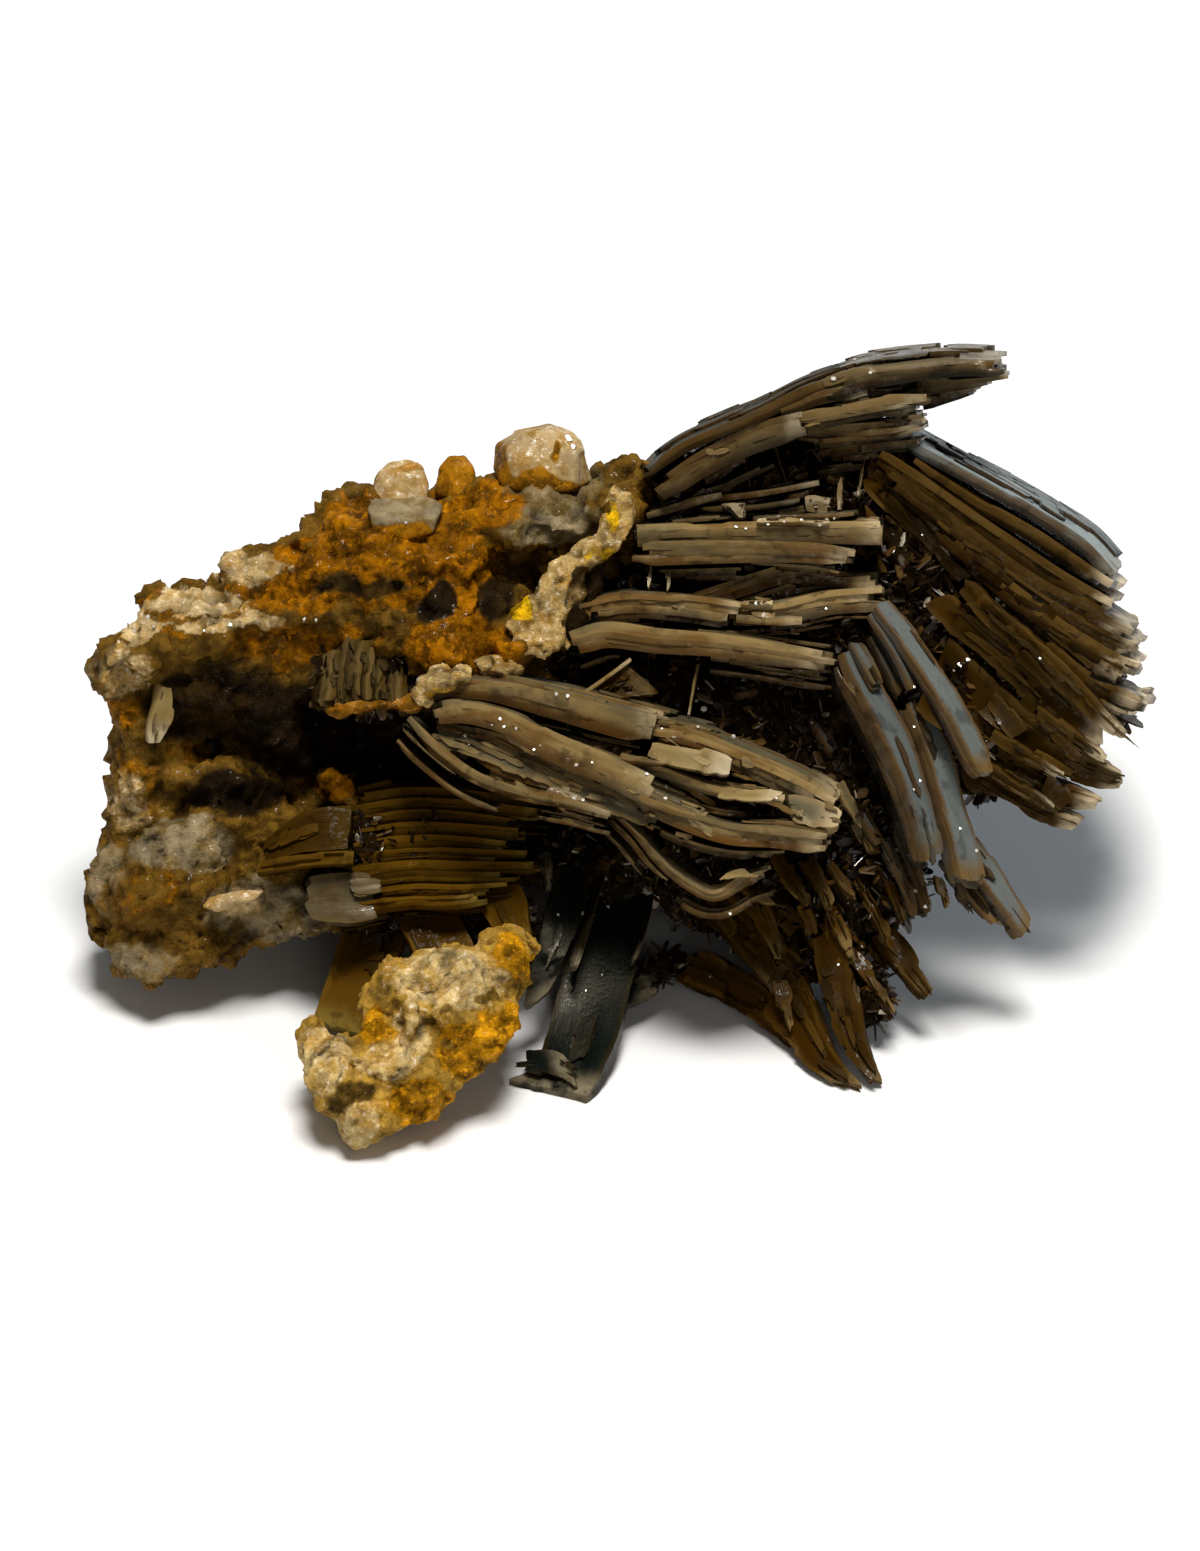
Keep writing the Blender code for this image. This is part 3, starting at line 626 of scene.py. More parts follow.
# Its blue-grey face colour is painted sky reflection.
sky_reflection_grey = barite("blue_grey_barite", (0.108, 0.120, 0.112), (0.090, 0.043, 0.006),
                   (0.014, 0.005, 0.0005), (0.13, 0.075, 0.02), dust=0.15, gloss=0.2, sheen=0.16,
                   shadow=0.85)
brown = barite("brown_barite", (0.041, 0.019, 0.0012), (0.092, 0.051, 0.012), (0.038, 0.014, 0.0006),
               (0.60, 0.48, 0.30), dust=0.35, dark=0.5, sheen=0.06, wet=0.3, shadow=0.6)
amber = barite("amber_barite", (0.040, 0.016, 0.0004), (0.085, 0.042, 0.005), (0.040, 0.015, 0.0004),
               (0.17, 0.11, 0.04), dust=0.4, wet=0.25, sheen=0.06)
dark = barite("dark_barite", (0.0030, 0.0055, 0.0045), (0.018, 0.012, 0.003), (0.008, 0.004, 0.0008),
              (0.22, 0.18, 0.11), dust=0.03, gloss=0.2, dark=0.2, wet=0.2, sheen=0.08)
slate = barite("slate_barite", (0.050, 0.045, 0.032), (0.080, 0.041, 0.008), (0.034, 0.015, 0.002),
               (0.12, 0.080, 0.03), dust=0.45, gloss=0.45, sheen=0.03, wet=0.0, shadow=0.7)
# Its pale blue face colour is painted sky reflection on the top sheet of the fan.
sky_reflection_mist = barite("mist_barite", (0.190, 0.225, 0.222), (0.075, 0.036, 0.006), (0.040, 0.024, 0.010),
              (0.20, 0.190, 0.150), dust=0.3, gloss=0.35, sheen=0.06, wet=0.0, shadow=0.8)
rods = barite("rod_barite", (0.072, 0.042, 0.008), (0.120, 0.078, 0.026), (0.024, 0.010, 0.001),
              (0.30, 0.220, 0.12), dust=0.6, gloss=0.4, sheen=0.05, wet=0.1, shadow=0.7)
olive = barite("olive_barite", (0.074, 0.033, 0.0010), (0.112, 0.055, 0.004), (0.034, 0.013, 0.0004),
               (0.14, 0.09, 0.015), dust=0.5, gloss=0.45, dark=0.35, wet=0.05, sheen=0.02)
pale = barite("pale_barite", (0.21, 0.142, 0.044), (0.30, 0.21, 0.080), (0.14, 0.07, 0.009),
              (0.50, 0.40, 0.24), dust=0.4)
print("crystal finishes", sum(mat.name.endswith("barite") for mat in bpy.data.materials))

# %% [markdown]
# ## Rock finishes
# The rock is ochre with cream crust, near-black recesses and grey crystal showing through. The near black
# is soot-dark crust in places and painted shade in the recesses. Where each of them is comes from the
# painted attribute `stain`, because a real stain follows the shape of the rock. The material breaks those
# broad areas up with grains, pits and rusty patches, and how deep each point lies in a dip darkens it:
# painted shade.

# %% Rock material
CRUST_GRIT = (0.74, 0.66, 0.52)
ASH, ASH_STAIN = (0.26, 0.20, 0.11), (0.160, 0.100, 0.028)
# The near black of dark crust, and of painted shade in the recesses.
SOOT_AND_SHADE = (0.012, 0.006, 0.002)


def stone(name, ground, rust, crust, bump=0.4, wet=0.25, speck=1.0):
    """Ochre rock: colours mixed by the stain attribute and broken up by grains.

    bump is the height of its grain, wet how much its grains spark and speck how spotted it is.
    """
    f = Finish(name, IOR=1.5, Specular_IOR_Level=0.06, Specular_Tint=(1.0, 0.8, 0.45, 1),
               Coat_Roughness=0.12)
    ochre, cream, soot_and_shade = f.split(f.attribute("stain", 0))
    grey = f.attribute("stain", 3)
    here = f.node("ShaderNodeTexCoord", {}, {}, 3)
    clouds = f.noise(here, 210.0, 5.0, 0.65)
    patch = f.noise(here, 520.0, 4.0, 0.62)
    grit = f.noise(here, 1500.0, 4.0, 0.7)
    sand = f.noise(here, 5200.0, 2.0, 0.6)
    pits = f.cells(here, 900.0)

    dim = tuple(v * 0.28 for v in rust)
    rusty = f.blend(patch.over(0.36, 0.60), dim, rust)
    rusty = f.blend(grit.over(0.52, 0.74), rusty, tuple(min(1, v * 1.5) for v in rust))
    old_crust = (crust[0] * 0.72, crust[1] * 0.58, crust[2] * 0.30)
    crusty = f.blend(patch.over(0.42, 0.64), crust, old_crust)
    crusty = f.blend(grit.over(0.54, 0.74), crusty, CRUST_GRIT)
    ash = f.blend(patch.over(0.4, 0.65), ASH, ASH_STAIN)
    base = f.blend(patch.over(0.42, 0.62), ground, tuple(v * 0.4 for v in ground))

    colour = f.blend((ochre + (patch - 0.5) * 1.5).over(0.25, 0.75), base, rusty)
    colour = f.blend((grey + (patch - 0.5) * 1.3).over(0.3, 0.7), colour, ash)
    colour = f.blend((cream + (patch - 0.5) * 1.5 + (grit - 0.5) * 0.5).over(0.3, 0.75), colour, crusty)
    # Soot-dark spots: dark crust in places, painted shade in the recesses.
    colour = f.blend((soot_and_shade + (clouds - 0.5) * 0.9).over(0.25, 0.8), colour, SOOT_AND_SHADE)

    # Dips are darkened by how deep they lie: painted shade.
    hollow = f.attribute("hollow", 2)
    tone = 0.93 + ((grit - 0.5) * 1.0 + (sand - 0.5) * 0.6 - (1.0 - pits.over(0.05, 0.3)) * 0.15) * speck
    tone = tone * (1.12 - hollow.over(0.35, 0.95) * 0.8 * speck) * (0.74 + clouds.over(0.35, 0.6) * 0.42)
    f.relief(grit * 0.6 + sand * 0.3 + pits * 0.3, bump)
    spark = (sand + (grit - 0.5) * 0.6).over(0.54, 0.66)
    return f.feed(Base_Color=f.shade(colour, tone.math("MAXIMUM", 0.05)), Coat_Weight=spark * wet,
                  Roughness=0.62 + (grit - 0.5) * 0.5)


# %% Rock finishes
rock_finish = stone("host_rock", (0.160, 0.082, 0.010), (0.33, 0.120, 0.001), (0.58, 0.42, 0.20))
knob_finish = stone("ochre_knob", (0.42, 0.240, 0.035), (0.54, 0.240, 0.005), (0.62, 0.45, 0.19))
ridge_finish = stone("crust_ridge", (0.26, 0.15, 0.03), (0.95, 0.52, 0.006), (0.50, 0.34, 0.13), 0.5)
clear_finish = stone("pale_crystal", (0.32, 0.21, 0.07), (0.34, 0.14, 0.004), (0.44, 0.31, 0.15), 0.15,
                     0.5, 0.4)
ledge_finish = stone("ledge_crystal", (0.24, 0.16, 0.04), (0.34, 0.14, 0.003), (0.4, 0.3, 0.2), 0.15, 0.4,
                     0.5)
# Near black: dark stone of the hearts together with painted shade of the hollows.
druse_and_shade_finish = stone("druse", (0.012, 0.006, 0.001), (0.04, 0.016, 0.001), (0.3, 0.2, 0.1), wet=0.3)
print("rock finishes made, materials so far", len(bpy.data.materials))

# %% [markdown]
# ## Finishes for the smallest crystals
# The druse is made of thousands of tiny tablets, mostly near-black brown, with a pale one here and there;
# the near black is partly painted shade of the hollows they line. Each carries a random `tint`, so one
# material serves them all. The cleavage chips are clear and clean: they are only there to glint.

# %% Druse and chip finishes


def needles_finish():
    """Small crystals of the druse: mostly dark brown, a few pale, some wet."""
    f = Finish("druse_crystals", IOR=1.5, Specular_IOR_Level=0.3, Coat_Roughness=0.06)
    tint = f.attribute("tint", 2)
    here = f.node("ShaderNodeTexCoord", {}, {}, 3)
    streak = f.noise(here, 1900.0, 3.0, 0.6)
    # Most tablets are near black: dark brown druse and painted shade of the hollows together.
    colour = f.blend(tint.over(0.5, 0.95), (0.012, 0.005, 0.0005), (0.085, 0.043, 0.008))
    colour = f.blend(tint.over(0.965, 0.99), colour, (0.42, 0.36, 0.26))
    return f.feed(Base_Color=f.shade(colour, 0.6 + streak * 0.8), Coat_Weight=tint.over(0.4, 0.9) * 0.7,
                  Roughness=0.3 + streak * 0.2)


def chips_finish():
    """Clear cleavage chips, slightly clouded."""
    f = Finish("clear_chips", IOR=1.55, Specular_IOR_Level=0.5)
    here = f.node("ShaderNodeTexCoord", {}, {}, 3)
    colour = f.blend(f.noise(here, 900.0), (0.30, 0.26, 0.19), (0.62, 0.58, 0.50))
    return f.feed(Base_Color=colour, Roughness=0.16)


chip_finish, druse_crystals = chips_finish(), needles_finish()
print("chip and druse finishes", chip_finish.name, druse_crystals.name)

# %% [markdown]
# ## Growing the books
# Now the crystals themselves, one table for each book, in stations. A blade is its front edge, the way
# across to its other edge (a step, or the edge itself), its thickness at start and end, and sometimes its
# own manner of breaking. The lengths and slants are set blade by blade, because they give the specimen
# its look, and `grow` does the rest. A book that has a solid of its own in the frame stands for it.

# %% Growing one book
SEED_STEP = 20
NEAT, EVEN, WORN = dict(ragged=0.2), dict(ragged=0.3), dict(ragged=0.4)  # how ragged the ends are
FLAKE = dict(ragged=0.2, splinters=0)
BROAD = dict(fray=0.8, ragged=1.8, terraces=7)
slots = {}


def grow(name, table, finish, slot, node=True):
    """Grows a book from its table as one piece, which stands for the node of the same name."""
    shape = Shape()
    for k, (rail, other, thick, *manner) in enumerate(table):
        blade(shape, rail, other, thick, len(slots) * SEED_STEP + k, **(manner[0] if manner else {}))
    slots[name] = slot
    return shape.piece(name, finish, slot, *([name] if node else []))


# %% [markdown]
# ## Crown and middle books
# The crown is the book at the top, whose long blades sweep up to the right, with small steps and
# triangular chips in the hollow under it. The middle books below it are nearly level, stout pages with
# hollows between.

# %% Crown blades
CROWN = [
    ([(82, 38.0, 6.9), (86, 36.6, 7.2), (90, 36.0, 7.2), (95, 35.6, 6.6), (100.2, 35.8, 6)],
     (0.3, -1.1, -20), (2.6, 1.8), dict(fray=0.2, terraces=7)),
    ([(78, 40.6, 6.4), (82, 39.0, 6.9), (86.8, 38.3, 7)], (0.3, -0.6, -14), (1.4, 1.5)),
    ([(66, 47.2, -3), (72, 43.6, -3), (79, 40.2, -2.6), (86, 38.2, -2), (91, 38.2, -2)], (0.3, -0.6, -12),
     (2.6, 2.8), dict(splinters=0)),
    ([(65.2, 48.5, 4.5), (68.5, 46.0, 5), (72, 44.0, 5.4), (76, 42.2, 5.8), (80.6, 41.0, 6.2)],
     (0.5, -0.9, -20), (2.3, 3.2), dict(fray=0.16, layers=3, splinters=3)),
    ([(79.0, 41.4, 6), (84, 40.2, 6.4), (88, 39.4, 6.7), (92.3, 39.3, 6.2)], (0.5, -0.9, -20), (2.2, 2.4),
     dict(fray=0.22)),
    ([(79.6, 42.4, 4.6), (86, 42.0, 5.4), (92.4, 41.5, 5)], (0.3, -0.4, -14), (2.1, 1.9),
     dict(fray=0.4, splinters=3)),
    ([(82, 43.9, 3.4), (88, 43.4, 4), (91, 43.2, 3.6)], (0.3, -0.4, -10), (1.8, 1.6),
     dict(fray=0.6, splinters=3)),
    ([(91, 38.0, 3.2), (96, 37.6, 3.4), (100.6, 37.2, 3.2)], (0.4, -0.6, -12), (1.8, 1.0),
     dict(fray=0.2, splinters=0)),
    ([(90.8, 39.3, 2.2), (94, 38.8, 2.6), (97.5, 38.4, 2.5)], (0.4, -0.6, -10), (2.4, 1.0),
     dict(fray=0.2, splinters=0)),
    ([(64.9, 51.0, 3), (68, 50.0, 3.2), (72, 49.2, 3)], (0.5, -0.6, -10), (1.1, 0.8)),
    ([(70, 49.6, 2), (76, 49.0, 2.4), (81.6, 48.0, 2)], (0.5, -0.5, -8), (0.7, 0.6)),
    ([(70, 50.6, 3), (76, 50.3, 3), (80.4, 49.6, 3)], (0.5, -0.5, -8), (0.7, 0.6)),
    ([(69.6, 45.6, 1), (71.4, 45.7, 1)], [(69.9, 48.6, 1.4), (71.6, 48.2, 1.4)], (1.6, 1.6), NEAT),
    ([(72.0, 50.0, 4), (74.4, 49.9, 4.2)], [(73.4, 52.0, 4.6), (75.2, 51.8, 4.6)], (1.2, 1.2), NEAT),
    ([(83.7, 47.4, 2.4), (83.5, 51.1, 3)], [(84.7, 47.5, 2.4), (84.6, 51.0, 3)], (0.8, 0.8), EVEN),
    ([(80.4, 49.2, 2), (83.2, 49.4, 2.2)], [(80.8, 51.6, 2.8), (83.4, 51.4, 2.8)], (1.6, 1.6), EVEN),
    ([(77.2, 44.6, -1), (78.4, 48.4, 0)], [(77.8, 44.5, -1), (79.0, 48.3, 0)], (0.5, 0.5)),
    ([(74.0, 45.4, -1), (74.8, 48.8, 1)], [(74.5, 45.3, -1), (75.4, 48.8, 1)], (0.5, 0.5)),
    ([(86.2, 45.4, 2), (85.4, 50.4, 3)], [(86.9, 45.4, 2), (86.0, 50.4, 3)], (0.8, 0.8)),
]
grow("crown_blades", CROWN, smoky, "grey_tan_barite")

# %% Middle blades
MIDDLE = [
    ([(63.4, 52.5, 8), (70, 52.2, 8.4), (76, 52.1, 8.6), (82, 51.9, 8.6), (88.3, 51.8, 8.4)],
     (0, -0.6, -16), (2.2, 2.6), dict(fray=0.2, ragged=0.3)),
    ([(63.2, 54.1, 9.0), (70, 54.0, 9.6), (78, 54.1, 9.8), (82, 54.3, 9.6), (85.4, 54.9, 9.4)],
     (0, -0.4, -14), (2.5, 1.9), dict(fray=0.25)),
    ([(69.0, 59.4, 6.5), (73.5, 57.9, 7), (78, 56.5, 7.2), (83.4, 56.1, 7.2)], (0, -0.5, -12),
     (1.9, 1.9)),
    ([(78, 57.8, 4.6), (88, 57.2, 5)], (0, -0.5, -10), (2.0, 1.9)),
    ([(57.2, 60.4, 8.5), (62, 59.2, 9), (68, 59.4, 9.4), (74, 60.2, 9.6)], (0.2, -0.9, -16), (2.6, 2.8),
     dict(fray=0.25)),
    ([(73, 60.4, 9.0), (78, 60.0, 9.4), (83, 59.0, 9), (88.2, 58.6, 8.6)], (0.2, -0.7, -14), (2.2, 2.6),
     WORN),
    ([(73.6, 61.4, 10), (80.4, 61.6, 10)], (0, -0.4, -8), (1.0, 1.0), EVEN),
    ([(56.8, 63.2, 10), (60, 62.2, 10.4), (66, 62.8, 10.8), (72, 63.3, 11), (78, 64.2, 11),
      (83.7, 65.3, 10.6)], (0.2, -0.6, -16), (2.8, 2.0), dict(fray=0.2)),
    ([(71, 65.2, 10), (76, 65.6, 10.2), (83.4, 66.3, 9.8)], (0, -0.4, -8), (0.9, 0.9)),
    ([(64.4, 56.6, 7), (64.2, 59.0, 8)], [(65.7, 56.4, 7), (65.3, 58.9, 8)], (1.0, 1.0), NEAT),
    ([(66.2, 56.8, 7.4), (66.0, 58.9, 8.6)], [(67.5, 56.8, 7.4), (67.5, 59.0, 8.6)], (1.0, 1.0), NEAT),
    ([(74.0, 59.6, 9.6), (77.2, 59.5, 9.6)], [(74.0, 60.7, 10.4), (77.4, 60.6, 10.4)], (1.0, 1.0), NEAT),
    ([(75.8, 51.5, 8.8), (79.0, 51.4, 8.8), (83.4, 51.5, 8.8)],
     [(75.8, 52.6, 9.3), (79, 52.4, 9.4), (83.4, 52.3, 9.3)], (1.0, 1.0), EVEN),
]
grow("middle_blades", MIDDLE, grey_tan, "grey_tan_barite")

# %% [markdown]
# ## Front and arch books
# The front book is the nearest and most broken: its pages slope down to the right and fray into
# splinters. The arch books stand behind its end and curve downwards, with smooth blue-grey faces and
# brown rims, so their blades are drawn face on, between two curved edges.

# %% Front blades
# The first two plates are darker through a lower brightness: painted shade between the plates.
FRONT = [
    ([(42.8, 71.4, 9.6), (48, 72.6, 11.6), (54, 75.0, 13), (60, 78.0, 14), (66, 81.0, 14.6)],
     [(43.6, 74.6, 10.6), (48.4, 76.6, 12.4), (53.6, 78.8, 13.6), (59, 81.0, 14.4), (65, 83.2, 15)],
     (1.6, 1.6), dict(fray=0.5, ragged=1.2, splinters=7, main=0.2)),
    ([(52, 72.0, 12.4), (58, 74.2, 13.6), (64, 76.8, 14.4), (70, 79.4, 15)],
     [(52.4, 74.6, 13.2), (57.6, 77.0, 14.4), (63.6, 79.6, 15.2), (69.6, 81.8, 15.6)], (1.4, 1.4),
     dict(fray=0.4, ragged=1.2, splinters=5, main=0.5)),
    ([(49, 66.8, 10), (54, 67.9, 11), (60, 69.2, 11.5), (68, 71.4, 11.6)], (0, -0.4, -9), (1.1, 1.1)),
    ([(42.0, 69.0, 10.5), (44.6, 67.9, 11.6), (48, 67.7, 12.6), (54, 68.8, 14), (60, 70.2, 15),
      (65.7, 71.5, 15.6)], (0.6, -0.9, -10), (2.0, 3.2), dict(fray=0.14, ragged=0.3, layers=2)),
    ([(64.6, 72.2, 14.4), (70, 73.2, 15.0), (74, 74.8, 15.4), (79, 76.8, 15.4), (84, 79.4, 15)],
     (0.6, -1.0, -10), (2.2, 2.8), dict(fray=0.3)),
    ([(65.0, 74.4, 15.4), (69, 75.2, 16.0), (72.9, 76.0, 16)], (0.4, -0.5, -6), (1.4, 1.3), NEAT),
    ([(62, 75.2, 15.4), (66, 76.4, 16.2), (71, 78.2, 16.8), (78.4, 79.4, 16.8)], (0.4, -0.5, -8),
     (1.2, 1.3), EVEN),
    ([(78.5, 78.6, 15.6), (81.4, 79.2, 15.8), (84.4, 80.6, 15.6)],
     [(79.2, 82.2, 16.6), (82, 83.0, 16.6), (84.5, 82.8, 16.4)], (2.4, 2.4), NEAT),
    ([(42.6, 70.4, 11.6), (46, 69.9, 12.8), (50, 70.6, 14), (56, 73.4, 15.4), (62, 75.9, 16.6),
      (66, 78.0, 17.2)], (0.5, -0.8, -10), (2.2, 3.2), dict(fray=0.2, layers=3)),
    ([(63.5, 78.2, 16.6), (68, 80.6, 17.4), (73, 82.3, 17.8), (78, 82.6, 17.8), (82.8, 83.4, 17)],
     (0.5, -0.8, -9), (2.2, 2.2), dict(fray=0.25, ragged=0.4)),
    ([(64, 79.4, 17.4), (67, 80.5, 17.8), (70.6, 81.4, 18)], (0.4, -0.4, -5), (1.0, 0.9), NEAT),
    ([(41.2, 71.6, 10.6), (44, 74.4, 12.4), (48, 77.3, 14), (53, 79.0, 15), (57, 79.8, 15.4),
      (61.2, 81.2, 15.4)], (0.5, -0.5, -10), (1.3, 1.1), dict(fray=0.5)),
    ([(46, 73.4, 11), (50, 76.4, 13), (56, 78.2, 14)], (0.5, -0.5, -8), (1.0, 1.0), dict(fray=0.9)),
    ([(61, 80.4, 13.4), (64, 83.2, 14), (66, 85.6, 14.3), (69, 88.0, 14.4), (71.3, 89.0, 14.4),
      (74, 87.6, 14.2), (76.2, 87.0, 13.8)], (1, -1.0, -7), (0.7, 1.4), dict(layers=2, fray=0.2)),
]
grow("front_blades", FRONT, grey_tan, "grey_tan_barite")

# %% Arch blades
ARCH = [
    ([(87.2, 60.6, 9.6), (89.8, 64.0, 10.8), (92.6, 68.0, 12), (95.0, 72.0, 12.8), (96.6, 75.2, 13),
      (98.3, 77.6, 13)],
     [(88.9, 59.8, 7.4), (91.6, 62.9, 8.4), (94.6, 67.2, 9.4), (97.2, 71.6, 10), (98.9, 75.0, 10.4),
      (99.6, 77.2, 10.8)], (0.9, 1.3), dict(fray=0.1, ragged=0.3, layers=2, splinters=1)),
    ([(86.6, 61.4, 9.6), (88.6, 64.2, 10.4), (90.0, 66.6, 11), (91.0, 69.2, 11.4)],
     [(87.8, 61.0, 8), (89.8, 63.8, 8.8), (91.2, 66.4, 9.2), (92.0, 68.8, 9.8)], (1.0, 1.2),
     dict(fray=0.1, ragged=0.4, layers=2, splinters=1)),
    ([(84.8, 63.8, 10.6), (86.2, 66.2, 11.6), (87.8, 69.0, 12.2)],
     [(86.0, 63.4, 9.4), (87.4, 65.8, 10.2), (88.7, 68.6, 11)], (1.2, 1.4),
     dict(fray=0.1, ragged=0.4, splinters=1)),
    ([(86.8, 63.6, 9.0), (88.4, 66.6, 9.8), (90.2, 69.8, 10.4)],
     [(87.8, 63.4, 8), (89.4, 66.2, 8.6), (90.8, 69.4, 9.4)], (1.2, 1.2),
     dict(fray=0.1, ragged=0.4, splinters=1)),
    ([(84.4, 65.2, 11.8), (86.0, 69.0, 12.8), (88.2, 73.6, 13.6), (90.2, 78.0, 14.2), (91.6, 82.0, 14.4),
      (92.6, 86.6, 14.2)],
     [(86.4, 64.8, 8.6), (89.2, 69.4, 9.6), (91.6, 74.0, 10.6), (93.0, 78.4, 11.4), (94.0, 82.4, 12),
      (94.8, 86.4, 12)], (3.4, 3.0), dict(fray=0.12, layers=4, splinters=2)),
    ([(90.6, 70.0, 10.2), (92.4, 75.0, 11), (93.8, 79.4, 11.6), (95.2, 83.6, 11.8), (96.2, 88.2, 11.6)],
     [(92.2, 69.4, 7), (95.4, 75.6, 8), (96.4, 79.8, 8.6), (97.8, 84.2, 8.8), (98.8, 88.4, 9)],
     (1.8, 2.0), dict(fray=0.12, layers=3, splinters=2)),
    ([(93.4, 79.6, 9), (95.0, 84, 9.4), (96.4, 88.6, 9.6)],
     [(94.4, 79.2, 8), (95.8, 83.4, 8.4), (97.2, 88.0, 8.8)], (1.4, 1.4)),
    ([(95.6, 84.4, 7.6), (99.4, 89.4, 7.2), (102.4, 93.6, 6.4)],
     [(97.8, 83.2, 4.4), (101.0, 88.0, 4.2), (104.2, 92.8, 3.4)], (1.8, 1.6), WORN),
    ([(93.6, 85.6, 6.6), (96.8, 89.4, 6.6), (99.8, 92.9, 6)],
     [(95.8, 85.0, 5), (98.8, 88.6, 5), (101.6, 92.6, 4.4)], (1.4, 1.4)),
    ([(78.8, 68.0, 3), (81.4, 72.4, 4.4), (83.8, 76.6, 5.4), (86.4, 82.0, 7), (88.2, 85.2, 7.6)],
     [(79.8, 67.6, 2), (82.2, 72.0, 3.2), (84.6, 76.4, 4.4), (87.2, 81.8, 6), (89.0, 84.6, 6.6)],
     (1.0, 1.0), dict(fray=0.15)),
    ([(79.8, 71.6, 2), (82.6, 76.4, 3), (84.6, 80.2, 5)],
     [(80.2, 71.4, 1.6), (83.0, 76.2, 2.4), (85.4, 80, 4.4)], (0.6, 0.6)),
    ([(84.4, 79.2, 5), (86.0, 83.4, 6.6), (86.8, 85.7, 7)],
     [(85.6, 79.0, 4.4), (87.6, 83.0, 6), (88.4, 85.2, 6.4)], (1.2, 1.2), EVEN),
    ([(88.0, 84, 8), (90.0, 88, 8.6), (91.2, 91.4, 8.6)], [(89.2, 84, 7), (91.2, 88, 7.8), (92.2, 91, 8)],
     (1.2, 1.2)),
    ([(89.4, 82, 9), (91.4, 87, 9.6), (92.6, 91.4, 9.6)],
     [(90.6, 82, 8), (92.6, 87, 8.8), (93.8, 91.6, 9)], (1.2, 1.2)),
    ([(93.2, 87, 9), (93.9, 90.6, 9.2)], [(94.4, 87, 8.6), (95.4, 90.3, 8.8)], (1.0, 1.0)),
    ([(95.0, 87.6, 8.4), (96.2, 91.0, 8)], [(96.4, 87.4, 8), (97.6, 90.8, 7.6)], (1.2, 1.2)),
]
grow("arch_blades", ARCH, sky_reflection_grey, "blue_grey_barite")

# %% [markdown]
# ## The two fans
# On the right the blades open like a hand of cards, brown and thin, with pale ragged tips. Below, shorter
# amber blades hang down in a second fan. Both have a few plates seen face on behind the ones seen edge
# on, so that no light comes through at their roots.

